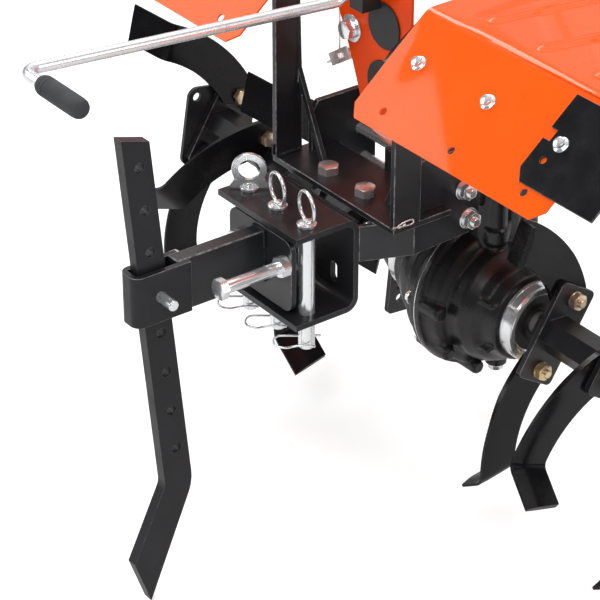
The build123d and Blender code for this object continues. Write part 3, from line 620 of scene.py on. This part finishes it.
def build_lamps():
    """Area lamps, of which fold and window are mirrored by the fender's fold and slope."""
    target = Vector((0.0, -0.15, 0.0))
    for name, place, width, height, power in (
        ("key", (0.9, -1.9, 2.3), 1.6, 1.2, 34),
        ("top", (-0.6, 0.6, 2.4), 1.8, 1.2, 12),
        ("fold", (-1.45, 0.3, 1.75), 0.7, 0.45, 9),
        ("side", (2.4, 0.6, 1.3), 0.9, 1.5, 18),
        ("left", (-1.7, -2.1, 1.0), 0.8, 1.5, 13),
        ("window", (-1.61, -1.09, 1.308), 0.7, 0.7, 5),
        ("sheen", (-2.0, 1.5, 1.5), 1.5, 0.8, 1.5),
    ):
        data = bpy.data.lights.new(name, "AREA")
        data.shape = "RECTANGLE"
        data.size, data.size_y, data.energy = width, height, power
        lamp = add_object(name, data)
        lamp.location = place
        lamp.rotation_euler = (target - Vector(place)).to_track_quat("-Z", "Y").to_euler()


build_floor()
build_world()
build_lamps()
scene.view_settings.view_transform = "Standard"


def rotate(y, z, degrees):
    a = math.radians(degrees)
    return y * math.cos(a) - z * math.sin(a), y * math.sin(a) + z * math.cos(a)


def about_axle(x, radius, degrees):
    """A point at this radius and turn about the axle."""
    y, z = rotate(radius, 0, degrees)
    return x, AXLE[0] + y, AXLE[1] + z


def section_places(label):
    """Outer flange face, direction and phase of each section of one rotor."""
    side = 1 if label == "near" else -1
    for index in range(SECTIONS):
        reach = SECTION_FIRST + index * SECTION_STEP
        face = reach if side > 0 else 2 * ROTOR_MID_X - reach
        yield index, side, face, PHASES[label][index % 2]


# M10 bolts in yellow zinc that hold the tines
def tine_bolts(label):
    shape = Shape()
    washer_t = 2
    for index, side, face, phase in section_places(label):
        for angle in (phase, phase + 180):
            out = (side, 0, 0)
            nut_face = EAR_T if index == SECTIONS - 1 else 0
            origin = about_axle(face, TINE_BOLT_OFF, angle)
            shape.hexagon(origin, (-side, 0, 0), 8, 6.2, FLANGE_T + TINE_T, turn=0.3 * index)
            shape.washer(origin, out, 5.2, 8.8, washer_t, nut_face, split=True)
            turn = 0.5 + 0.2 * index
            shape.hexagon(origin, out, 8, 6.6, nut_face + washer_t, turn=turn, both=True)
            start = (face + side * (nut_face + 1), origin[1], origin[2])
            shape.thread(start, out, TINE_BOLT_R, 11.8, 1.5)
    name = "tine_bolts_" + label
    shape.build(name + "_detail", YELLOW, "rotor", [name])


for label in ("near", "far"):
    tine_bolts(label)


# Tines: a flat curved pattern that is folded smoothly at its tip
TIP_SLANT = 9  # how far one side of the tip's end stays behind
GROUND_FROM, GROUND_SHARE = 0.35, 0.7  # shares of the run and of the width where grinding starts
GROUND_DEPTH = 0.42  # share of the thickness that is ground away


def tine(shape, origin, turn_angle, kind, tip_side, tip_length):
    turn, arc_r, arc_deg = kind
    arc = math.radians(arc_deg)
    half = TINE_W / 2
    bend = math.radians(TINE_BEND)
    along_steps, tip_steps, width_steps = 26, 16, 8
    blade_run = arc_r * arc
    flat_bend = (TINE_BEND_R + TINE_T / 2) * bend
    total = blade_run + flat_bend + tip_length
    fold_dir = Vector((-math.sin(arc), math.cos(arc)))
    fold_dir.rotate(Matrix.Rotation(math.radians(TIP_SKEW), 2))
    normal = Vector((fold_dir.y, -fold_dir.x))
    fold_at = Vector((arc_r * math.sin(arc), arc_r - arc_r * math.cos(arc)))

    def flat(run, w):
        """Place in the unfolded pattern, at this run along the arc and w across it."""
        if run <= 0:
            return Vector((run, -w))
        if run < blade_run:
            a = run / arc_r
            return Vector(((arc_r + w) * math.sin(a), arc_r - (arc_r + w) * math.cos(a)))
        extra = run - blade_run
        base = Vector(((arc_r + w) * math.sin(arc), arc_r - (arc_r + w) * math.cos(arc)))
        return base + Vector((math.cos(arc), math.sin(arc))) * extra

    def folded(p, depth):
        """Place in the blade's plane and height above it, after the fold."""
        q = p - fold_at
        t = q.dot(normal)
        if t <= 0:
            return p, depth
        r = TINE_BEND_R + TINE_T / 2
        phi = min(t / r, bend)
        rest = t - r * phi
        ahead = (r - depth) * math.sin(phi) + rest * math.cos(phi)
        rise = r - (r - depth) * math.cos(phi) + rest * math.sin(phi)
        return fold_at + fold_dir * q.dot(fold_dir) + normal * ahead, rise

    runs = [blade_run * i / along_steps for i in range(along_steps)]
    runs += [blade_run + (total - blade_run) * i / tip_steps for i in range(tip_steps + 1)]
    round_runs = [-half * math.sin(math.pi / 2 * (1 - i / 6)) for i in range(6)]
    rows = []
    ground_run = blade_run * GROUND_FROM
    for run in round_runs + runs:
        reach = math.sqrt(max(half * half - run * run, 0)) if run < 0 else half
        edge = max(0.0, (run - ground_run) / (total - ground_run))
        row = []
        for j in range(width_steps + 1):
            w = -reach + 2 * reach * j / width_steps
            shift = run
            if run > blade_run:
                behind = (half - w) / TINE_W * TIP_SLANT
                shift = run - behind * (run - blade_run) / (total - blade_run)
            row.append((flat(shift, w), edge, j / width_steps))
        rows.append(row)
    away = math.radians(turn)
    notch = Vector((-TINE_BOLT_OFF * math.cos(away), TINE_BOLT_OFF * math.sin(away)))
    top, low = [], []
    for row in rows:
        upper, lower = [], []
        for p, edge, share in row:
            gap = p - notch
            if gap.length < NOTCH_R:
                p = notch + gap.normalized() * NOTCH_R
            thin = 0.0
            if share > GROUND_SHARE and edge > 0:
                ground = (share - GROUND_SHARE) / (1 - GROUND_SHARE)
                thin = ground * TINE_T * GROUND_DEPTH * min(1, edge * 4)
            upper.append((p, TINE_T / 2 - thin))
            lower.append((p, -TINE_T / 2 + thin * 0.2))
        top.append(upper)
        low.append(lower)
    ca, sa = math.cos(turn_angle), math.sin(turn_angle)

    def world(p, depth):
        q, rise = folded(p, depth)
        y = q.x * ca - q.y * sa
        z = q.x * sa + q.y * ca
        return Vector((origin[0] + tip_side * rise, origin[1] + y, origin[2] + z))

    count = width_steps + 1
    verts = [world(*c) for row in top for c in row] + [world(*c) for row in low for c in row]
    faces = []
    total_rows = len(rows)
    offset = total_rows * count
    for i in range(total_rows - 1):
        for j in range(width_steps):
            a = i * count + j
            faces.append((a, a + 1, a + count + 1, a + count))
            faces.append((offset + a, offset + a + count, offset + a + count + 1, offset + a + 1))
    for i in range(total_rows - 1):
        for j in (0, width_steps):
            a, b = i * count + j, (i + 1) * count + j
            faces.append((a, b, offset + b, offset + a))
    for i in (0, total_rows - 1):
        for j in range(width_steps):
            a = i * count + j
            faces.append((a, a + 1, offset + a + 1, offset + a))
    shape.add(verts, faces)


def tines(label):
    for index, side, face, phase in section_places(label):
        shape = Shape()
        middle = face - side * (FLANGE_T + TINE_T / 2)
        first_out = side < 0 and index == 0
        inward = side if first_out else -side
        for angle, kind, tip_side, tip_length in (
            (phase, TINE_OUT[label], side, TIP_LONG),
            (phase + 180, TINE_IN, inward, TIP_LONG if index else TIP_SHORT),
        ):
            origin = about_axle(middle, TINE_BOLT_OFF, angle)
            tine(shape, origin, math.radians(angle + kind[0]), kind, tip_side, tip_length)
        name = f"tines_{label}_{index + 1}"
        # The pale coat on the rounded edges is partly wear, partly a painted highlight
        shape.build(
            name + "_forged", TINE_BLACK, "rotor", [name], 38, 0.8, TINE_EDGE_WEAR_AND_HIGHLIGHT
        )


for label in ("near", "far"):
    tines(label)

# Rotor plates and tubes
for label in ("near", "far"):
    dress("hub_" + label, BLACK, "rotor", 1.2)
    dress("ear_plate_" + label, BLACK, "rotor", 0.6)
    for index in range(SECTIONS):
        dress(f"flange_{label}_{index + 1}", BLACK, "rotor", 0.7)
dress("rotor_axle", ZINC, "rotor", 0.5)


# Gear case as one casting with soft fillets, bosses for its bolts and ribs
BOSS_TURNS, BOSS_OFF, BOSS_BACK = (175, 214, 251, 292, 328, 18), 77, CASE_X - 11
CASE_NODES = ("case_near", "case_far", "case_neck")


def gear_case():
    mesh = mesh_copy(*CASE_NODES)
    extra = Shape()
    for degrees in BOSS_TURNS:
        boss = about_axle(BOSS_BACK, BOSS_OFF, degrees)
        extra.lathe(boss, RIGHT, ((0, 7.6), (44, 7.6), (46, 6.6)), 28)
    extra.lathe((CASE_X, *AXLE), RIGHT, (
        (-30, 62), (-28, 70), (-24, 76), (-7.2, 79), (7.2, 79), (24, 76), (28, 70), (30, 62),
    ), 96)
    for degrees in (150, 210, 330, 30):
        axes = (RIGHT, Vector((0, *rotate(1, 0, degrees))), Vector((0, *rotate(0, 1, degrees))))
        extra.block(about_axle(CASE_X + 58, 47.3, degrees), 16, 9, 1.8, axes)
    for x in (-1, 1):
        extra.block((CASE_X + x * 33.2, -74, -50), 2.6, 7, 58)
    work = bmesh.new()
    work.from_mesh(mesh)
    work.from_mesh(extra.mesh("bosses"))
    work.to_mesh(mesh)
    work.free()
    mesh.materials.append(CAST)
    made = add_object("gear_case_casting", mesh)
    remesh = made.modifiers.new("remesh", "REMESH")
    remesh.mode = "VOXEL"
    remesh.voxel_size = 0.00175
    smooth = made.modifiers.new("smooth", "SMOOTH")
    smooth.factor = 0.6
    smooth.iterations = 4
    bake(made)
    made.data.shade_smooth()
    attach(made, "chassis")
    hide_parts(*CASE_NODES)


gear_case()


def case_bolts():
    """Drain plug, bolts that hold the two case halves, and the bright line between them."""
    shape = Shape()
    foot = (53, AXLE[0], AXLE[1] - 76)
    shape.lathe(foot, UP, ((0, 9), (1.4, 11), (16, 11)), 40)
    shape.index = 1
    shape.lathe(foot, DOWN, ((-1, 8.4), (1, 8.4), (1.2, 7.6)), 36)
    shape.hexagon(foot, DOWN, 7, 5, 1, turn=0.2)
    shape.build("drain_plug_turned", [CAST, ZINC], "chassis", ["drain_plug"], 30)

    shape = Shape()
    left, washer_t, joint_r = (-1, 0, 0), 1.4, 84.1
    for degrees in BOSS_TURNS:
        origin = about_axle(BOSS_BACK, BOSS_OFF, degrees)
        shape.washer(origin, left, 4.2, 7.4, washer_t)
        shape.hexagon(origin, left, 5.5, 4.6, washer_t, turn=0.01 * degrees)
    shape.tube([about_axle(CASE_X, joint_r, d) for d in range(128, 412, 3)], 0.55, 8)
    shape.build("case_joint_bolts", ZINC, "chassis", ())


case_bolts()


# Bright rings that close the gear case
def case_rings():
    for side, name in ((1, "ring_near"), (-1, "ring_far")):
        shape = Shape()
        start = (CASE_X + side * 81, AXLE[0], AXLE[1])
        shape.lathe(start, (side, 0, 0), (
            (0, 30), (0, 41), (1, 42), (4.4, 42), (4.8, 41.4), (5.2, 42), (13.8, 42), (15.8, 40.6),
            (16.5, 39), (16.5, 35.4), (14, 34.6), (11, 34), (11, 30),
        ), 96, closed_loop=True)
        shape.index = 1
        shape.lathe(start, (side, 0, 0), (
            (8, 13.2), (8, 33.8), (10.4, 33.8), (11.2, 32.6), (9.6, 29), (9.6, 20), (11.5, 17),
            (11.5, 13.2),
        ), 64, closed_loop=True)
        shape.build(name + "_turned", [ZINC, PLASTIC], "chassis", [name], 25)


case_rings()

# Welded bracket, hitch and drawbar plates
for name, mat, bevel in (
    ("beam", BLACK, 0.8), ("side_plate_right", BLACK, 0.8), ("side_plate_left", BLACK, 0.8),
    ("hitch_box", BLACK, 1.4), ("rear_panel", ORANGE_DARK, 0.5),
    ("panel_plugs", PLASTIC, 0.8), ("selector_block", PLASTIC, 1.0),
    ("selector_rod", ROD_ZINC, 0.4),
):
    dress(name, mat, "chassis", bevel)
for name, mat, bevel in (
    ("swivel_bracket", BLACK, 1.2), ("drawbar", BLACK, 1.2), ("stake_clamp", WORN, 1.0),
    ("depth_stake", WORN, 1.6), ("stake_pin", ZINC, 0.8),
):
    dress(name, mat, "drawbar", bevel)


# Studs, beam bolts, adjusting bolts and fender bolts
LEAN = math.hypot(1, SLOPE)
SLOPE_UP = (0, -SLOPE / LEAN, 1 / LEAN)


def on_slope(y):
    """Height of the fenders' rear slope at this y."""
    return FENDER_RIM[0][1] + SLOPE * (y - FENDER_RIM[0][0])


def chassis_bolts():
    shape = Shape()
    washer_t = 2
    for place in STUDS:
        for side in (1, -1):
            origin = (side * SIDE_PLATE_X, *place)
            out = (side, 0, 0)
            shape.washer(origin, out, 5.3, 11, washer_t)
            shape.washer(origin, out, 5.3, 8.6, washer_t, washer_t, split=True)
            shape.hexagon(origin, out, 8, 6, 2 * washer_t, turn=0.4, both=True)
            shape.thread((side * (SIDE_PLATE_X + 1), *place), out, STUD_R, 12.8, 1.5)
        shaft = ((0, STUD_R - 0.1), (2 * SIDE_PLATE_X, STUD_R - 0.1))
        shape.lathe((-SIDE_PLATE_X, *place), RIGHT, shaft, 24)
    shape.build("side_studs", ZINC, "chassis", ["stud_high", "stud_low"])

    shape = Shape()
    for spot in BEAM_BOLTS:
        origin = (*spot, BEAM_TOP_Z)
        shape.hexagon(origin, UP, 9.5, 8.4, turn=0.25)
        shape.lathe(origin, UP, ((8.1, 8.6), (8.3, 8.2), (8.2, 6.6), (7.9, 6.2)), 40)
    # The pink tint of these heads is a painted reflection of the orange fender
    shape.build("beam_bolt_heads", PINK_REFLECTION_ZINC, "chassis", ["beam_bolts"])

    shape = Shape()
    # How far outward and back in y each head sits from the CAD bolt, and on how many sheets
    seats = ((3, 2.2, 1), (3, 2.6, 1), (8, 5.7, 2))
    for side in (1, -1):
        for spot, (out, back, sheets) in zip(FENDER_BOLT_X, seats):
            y = FENDER_BOLT_Y - back
            z = on_slope(y) + FENDER_T * sheets * LEAN
            origin = (FENDER_MID_X + side * (spot + out), y, z)
            shape.lathe(origin, SLOPE_UP, ((0, 7.3), (0.5, 7.5), (1.2, 7.2), (2.2, 5.2)))
            shape.hexagon(origin, SLOPE_UP, 4.9, 4.3, 1.4, turn=0.2)
            shape.lathe(origin, SLOPE_UP, ((5.6, 3.6), (5.7, 3.4), (5.5, 2.6), (5.2, 2.4)), 32)
    shape.build("fender_bolt_heads", ZINC, "chassis", ["fender_bolts"])


def adjusting_bolts():
    """Bolts through a nut on the swivel bracket, toward the outer hitch pins."""
    for side, (x, z) in ADJUST_BOLTS.items():
        shape = Shape()
        nut, head = (x, ADJUST_NUT_Y, z), (x, ADJUST_HEAD_Y, z)
        shape.lathe(nut, BACK, ((-7.8, 5.3), (-7, 6.2), (24, 6.2), (24.2, 6.3), (71, 6.3)), 36)
        shape.thread((x, ADJUST_NUT_Y - 11, z), BACK, 6.35, 13, 1.75)
        shape.hexagon(nut, BACK, 9.5, 9.6, 0.2, turn=0.35, both=True)
        shape.hexagon(head, BACK, 9.5, 7.9, turn=0.1)
        shape.lathe(head, BACK, ((7.6, 8.4), (7.8, 7.9), (7.2, 6.4), (7.0, 6.0)), 40)
        name = "adjust_bolt_" + side
        shape.build(name + "_zinc", ZINC, "drawbar", [name])


chassis_bolts()
adjusting_bolts()


# Hitch pins with a flat eye or a wire ring on top
EYE_TURN, EYE_Z, EYE_T = math.radians(53), 21, 4
EYE_FOOT = (
    (-19, 2.2), (-16.6, 2), (16.6, 2), (19, 2.2), (18.6, 4.6), (14.6, 10.2), (-14.6, 10.2),
    (-18.6, 4.6),
)
RING_TURN, RING_Z, RING_R = math.radians(80), 20, 15.2


def hitch_pins():
    for x, name in ((-PIN_SPACING, "left"), (0, "middle"), (PIN_SPACING, "right")):
        shape = Shape()
        shape.lathe((x, PIN_Y, 0), UP, (
            (PIN_LOW_Z, PIN_R - 1.6), (PIN_LOW_Z + 1.6, PIN_R), (0, PIN_R),
            (0.1, 9.2), (0.6, 9.5), (2.8, 9.5), (3.5, 8.6),
        ))
        if x < 0:
            along = Vector((math.cos(EYE_TURN), math.sin(EYE_TURN), 0))
            face = Vector((math.sin(EYE_TURN), -math.cos(EYE_TURN), 0))
            middle = Vector((x, PIN_Y, EYE_Z))
            shape.washer(middle - face * EYE_T / 2, face, 10.5, 17, EYE_T)
            shape.rings([
                [Vector((x, PIN_Y, z)) + along * a + face * side for a, z in EYE_FOOT]
                for side in (-1.96, 1.96)
            ])
        else:
            along = Vector((-math.sin(RING_TURN), math.cos(RING_TURN), 0))
            middle = Vector((x, PIN_Y, RING_Z))
            turns = [math.radians(d) for d in range(0, 360, 6)]
            shape.tube([
                middle + along * RING_R * math.cos(a) + Vector((0, 0, RING_R * math.sin(a)))
                for a in turns
            ], 1.8, 14, True)
        name = "hitch_pin_" + name
        shape.build(name + "_turned", ZINC, "chassis", [name], 30)


hitch_pins()


# Wire clips through the hitch pins
def pin_clips():
    shape = Shape()
    turn = math.radians(233.4)
    ahead = Vector((math.cos(turn), math.sin(turn), 0))
    side = Vector((-ahead.y, ahead.x, 0))
    outer_leg = (
        (20, 10.6, -7.5), (14, 9.4, -7), (8, 9.0, -6), (2, 9.6, -5.5), (-4, 10.6, -5),
        (-8, 12.4, -5),
    )
    for x in (-PIN_SPACING, 0, PIN_SPACING):
        center = Vector((x, PIN_Y, PIN_LOW_Z + 12))
        points = [center + ahead * t for t in (-14, -6, 4, 14, 22)]
        for i in range(1, 12):
            a = math.pi * i / 12
            points.append(
                center + ahead * (24 + 8 * math.sin(a)) + side * (5 * (1 - math.cos(a)))
                + Vector((0, 0, -3.5 * (1 - math.cos(a))))
            )
        for t, s, z in outer_leg:
            points.append(center + ahead * t + side * s + Vector((0, 0, z)))
        shape.tube(curve(points, 4), 1.15, 12)
    shape.build("pin_clip_wires", ZINC, "chassis", ["pin_clips"], 60)


pin_clips()


# Rubber grip on the selector rod
def rod_grip():
    shape = Shape()
    shape.lathe((31, -593, 218.3), RIGHT, (
        (0, 6.4), (0.6, 7.4), (2, 8.4), (4, 8.6), (5, 9.3), (8, 9.5), (8.4, 9.1), (9.4, 9.1),
        (9.8, 9.5), (12.6, 9.5), (13, 9.1), (14, 9.1), (14.4, 9.5), (56, 9.5), (60, 9.2),
        (62.6, 8.2), (63.8, 6.4), (64, 3),
    ))
    shape.build("rubber_grip", RUBBER, "chassis", ["selector_grip"], 25)


rod_grip()


# Fenders: a pressed sheet with soft folds, holes and raised ribs
def fender(side, name):
    points = [Vector(p) for p in FENDER_RIM]
    lengths = [(points[i + 1] - points[i]).length for i in range(3)]
    starts = [0, lengths[0], lengths[0] + lengths[1]]
    total = sum(lengths)
    fold_r = 5.0
    s_steps, x_steps = 120, 110

    def profile(s):
        """Point and normal of the sheet at length s along its rim."""
        i = 0 if s < starts[1] else 1 if s < starts[2] else 2
        direction = (points[i + 1] - points[i]).normalized()
        p = points[i] + direction * (s - starts[i])
        blend = direction
        for k in (1, 2):
            gap = s - starts[k]
            if abs(gap) < fold_r:
                before = (points[k] - points[k - 1]).normalized()
                after = (points[k + 1] - points[k]).normalized()
                t = (gap + fold_r) / (2 * fold_r)
                a = points[k] - before * fold_r
                b = points[k] + after * fold_r
                p = a * (1 - t) ** 2 + points[k] * 2 * t * (1 - t) + b * t * t
                blend = (before * (1 - t) + after * t).normalized()
        return p, Vector((-blend.y, blend.x))

    near_fold = (-5, -3.8, -2.5, -1.2, 0, 1.2, 2.5, 3.8, 5)
    steps_s = sorted(set(
        [round(total * i / s_steps, 2) for i in range(s_steps + 1)]
        + [round(starts[k] + d, 2) for k in (1, 2) for d in near_fold]
    ))
    width = FENDER_OUTER - FENDER_INNER
    steps_x = [width * i / x_steps for i in range(x_steps + 1)]
    verts, faces = [], []
    for s in steps_s:
        for across in steps_x:
            clip = max(0.0, FENDER_CLIP - min(across, width - across)) * 1.15
            s_here = clip + s * (total - clip) / total
            p, n = profile(s_here)
            rise = press(across, s_here - starts[1]) if starts[1] < s_here < starts[2] else 0.0
            rise += slope_relief(across, s_here, starts[1])
            p = p + n * (FENDER_T / 2 + rise)
            verts.append(Vector((FENDER_MID_X + side * (FENDER_INNER + across), p.x, p.y)) * MM)
    cols = len(steps_x)
    for i in range(len(steps_s) - 1):
        for j in range(cols - 1):
            a = i * cols + j
            quad = (a, a + 1, a + cols + 1, a + cols)
            faces.append(quad if side > 0 else tuple(reversed(quad)))
    mesh = bpy.data.meshes.new(name)
    mesh.from_pydata(verts, [], faces)
    mesh.materials.append(ORANGE)
    made = add_object(name + "_pressing", mesh)
    thick = made.modifiers.new("sheet", "SOLIDIFY")
    thick.thickness = FENDER_T * MM
    thick.offset = 0
    thick.use_even_offset = True
    holes = []
    hole_y = FENDER_RIM[0][0] + 14
    for spot in (36, 131, 226):
        hole = Shape()
        center = (FENDER_MID_X + side * (FENDER_INNER + spot), hole_y, on_slope(hole_y))
        hole.lathe(center, (0, -SLOPE, 1), ((-8, 4), (8, 4)), 32)
        holes.append(hole)
    cut_away(made, holes)
    made.data.shade_smooth()
    made.data.set_sharp_from_angle(angle=math.radians(40))
    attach(made, "chassis")
    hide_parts(name)


def slope_relief(across, s, fold_s):
    """Height of the crease down the rear slope, a shallow dent and a low bulge."""
    down = max(0, fold_s - s)
    share = min(1, down / 24)
    bend = 27.4
    crease = 22.7 + 0.65 * min(down, bend) + 1.24 * max(0, down - bend)
    inward = (crease - across) / 1.5
    rise = -0.02 * (inward + math.hypot(inward, 2.5)) / 2 * share
    for x, along, width, length, height in ((165, 70, 30, 36, -0.35), (12, 60, 22, 45, 0.7)):
        gap = math.hypot((across - x) / width, (s - along) / length)
        rise += height * math.exp(-gap * gap) * share
    return rise


def smoothstep(low, high, value):
    t = min(1, max(0, (value - low) / (high - low)))
    return t * t * (3 - 2 * t)


def rib(across, ahead, start, end, radius, height):
    """A pressed rib between two points of the sheet."""
    p, a, b = Vector((across, ahead)), Vector(start), Vector(end)
    line = b - a
    t = min(1, max(0, (p - a).dot(line) / line.length_squared))
    gap = (p - (a + line * t)).length
    return height * (1 - smoothstep(radius * 0.45, radius, gap))


def press(across, ahead):
    """Height of the pressed pattern on the top of a fender."""
    rise = 0.0
    for start, end in (((60, 28), (84, 140)), ((130, 24), (160, 140)), ((200, 28), (232, 140))):
        rise += rib(across, ahead, start, end, 7.5, 2.6)
    for start, end in (((76, 74), (129, 42)), ((150, 74), (200, 42))):
        rise -= 0.8 * rib(across, ahead, start, end, 12, 1)
    raised = smoothstep(3, 26, ahead + 0.12 * across) * (1 - smoothstep(160, 185, ahead))
    raised *= smoothstep(26, 60, across) * (1 - smoothstep(222, 250, across))
    return rise + 2.4 * raised


fender(1, "fender_right")
fender(-1, "fender_left")


# Flaps with a notch beside the bolt and a small hole, and uprights with their tabs shortened
def flaps_and_uprights():
    up_slope, off_slope = Vector((0, 1 / LEAN, SLOPE / LEAN)), Vector(SLOPE_UP)
    for side, name in ((1, "right"), (-1, "left")):
        mesh = mesh_copy("flap_" + name)
        mesh.materials.append(TINE_BLACK)
        made = add_object("flap_" + name + "_cut", mesh)
        bolt_x = FENDER_MID_X + side * FENDER_BOLT_X[2]
        bolt = Vector((bolt_x, FENDER_BOLT_Y, on_slope(FENDER_BOLT_Y)))
        notch = Shape()
        notch.block(bolt - RIGHT * side * 10, 4.6, 5.6, 12, (RIGHT, up_slope, off_slope))
        hole = Shape()
        hole_at = bolt + RIGHT * side * 2.4 - up_slope * 22.8
        hole.lathe(hole_at, off_slope, ((-10, 3.3), (16, 3.3)), 32)
        cut_away(made, [notch, hole])
        soften(made, SHARP, 0.3, EDGE)
        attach(made, "chassis")
        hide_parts("flap_" + name)

        def shorten_tab(mesh):
            for v in mesh.vertices:
                x, y, z = v.co / MM
                if abs(x) < 92 and abs(z - on_slope(y)) < 0.4:
                    v.co.x = side * 98.6 * MM

        dress("upright_" + name, BLACK, "chassis", 0.8, shorten_tab)


flaps_and_uprights()


# Bolt of the rear panel, the control cable's wire in its bracket, and small ends of hardware
def panel_fittings():
    shape = Shape()
    origin = (-34, -211, 142)
    shape.washer(origin, BACK, 6.2, 14, 2)
    shape.washer(origin, BACK, 6.2, 10.4, 2.4, 2, split=True)
    shape.hexagon(origin, BACK, 8.6, 7, 4.4, turn=0.3)
    shape.lathe(origin, BACK, ((11.2, 7.4), (11.4, 7), (11, 5.6), (10.9, 5.2)), 40)
    shape.build("panel_bolt", ZINC, "chassis", ())

    shape = Shape()
    wire = ((-64.5, -203, 104), (-64.8, -203, 130), (-65, -203, 158), (-64, -203, 190))
    shape.tube(wire, 0.9, 10)
    lean = (Vector((0.83, 0, 0.55)), AHEAD, Vector((-0.55, 0, 0.83)))
    shape.block((-60, -203, 100), 21, 6, 1.2, lean)
    shape.block((-56, -209.4, 104), 16, 1.2, 6.5, lean)
    shape.block((-64, -197.4, 98), 14, 1.2, 5.5, lean)
    shape.lathe((-64.5, -203, 93), UP, ((0, 3), (0.6, 3.6), (9, 3.6), (10, 3)), 28)
    shape.hexagon((-56, -210.4, 103), BACK, 4.4, 3.2, turn=0.2)
    # Its pink tint is a painted reflection of the orange parts nearby
    shape.build("cable_bracket", PINK_REFLECTION_ZINC, "chassis", (), 30, 0.3)

    # Wire clip at the foot of the right upright, and a bolt end under the beam
    shape = Shape()
    points = [
        (97.0, -263, -0.5), (97.1, -252, -2.0), (97.2, -243, -3.2), (97.2, -238, -2.0),
        (97.4, -240, 1.5), (97.4, -248, 2.0), (97.2, -255, 0.5), (97, -257, -1.6),
        (97, -254, -2.8), (97, -248, -1.0),
    ]
    shape.tube(curve(points), 0.8, 10)
    shape.build("upright_wire_clip", ZINC, "chassis", (), 60)
    shape = Shape()
    shape.lathe((57, -250, -17), BACK, ((0, 4.6), (12.4, 4.6), (13.2, 3.8)), 28)
    shape.block((57, -246, -15), 8, 5, 5)
    shape.build("beam_bolt_end", ZINC, "chassis", (), 30, 0.3)


panel_fittings()


# Weld beads where plates meet
def welds():
    shape = Shape()
    for side in (1, -1):
        inner = side * 89.6
        shape.weld((inner, -258, -3.2), (inner, -232, -3.2), 2.6, 3)
        shape.weld((side * 96.4, -258, -4), (side * 96.4, -231, -4), 1.6, 4)
        shape.weld((side * 47, -231.5, -3.4), (side * 55, -231.5, -3.4), 2.4, 5)
        shape.weld((side * 84.4, -222, -10.4), (side * 84.4, -194, -10.4), 1.6, 6)
        shape.weld((side * 93, -262.2, -3), (side * 93, -262.2, 9), 1.5, 12)
    shape.weld((-60, -276.4, -6), (60, -276.4, -6), 2.0, 7)
    shape.build("bracket_welds", WORN, "chassis", (), 60)
    shape = Shape()
    for x in (0, PIN_SPACING):
        shape.weld((x - 4.5, PIN_Y - 0.8, 4.2), (x + 4.5, PIN_Y + 0.8, 4.2), 3.2, 20 + x)
    eye_x = -PIN_SPACING
    shape.weld((eye_x - 5.5, PIN_Y - 4.6, 4.4), (eye_x + 3.5, PIN_Y + 2.8, 4.4), 3.6, 22)
    shape.build("pin_ring_welds", ZINC, "chassis", (), 60)
    shape = Shape()
    for z in (-24, -60):
        for x, seed in ((8.6, 8), (-8.6, 9)):
            shape.weld((x, -347.2, z + 10), (x, -347.2, z - 10), 2.2, seed)
    shape.build("drawbar_welds", WORN, "drawbar", (), 60)


welds()
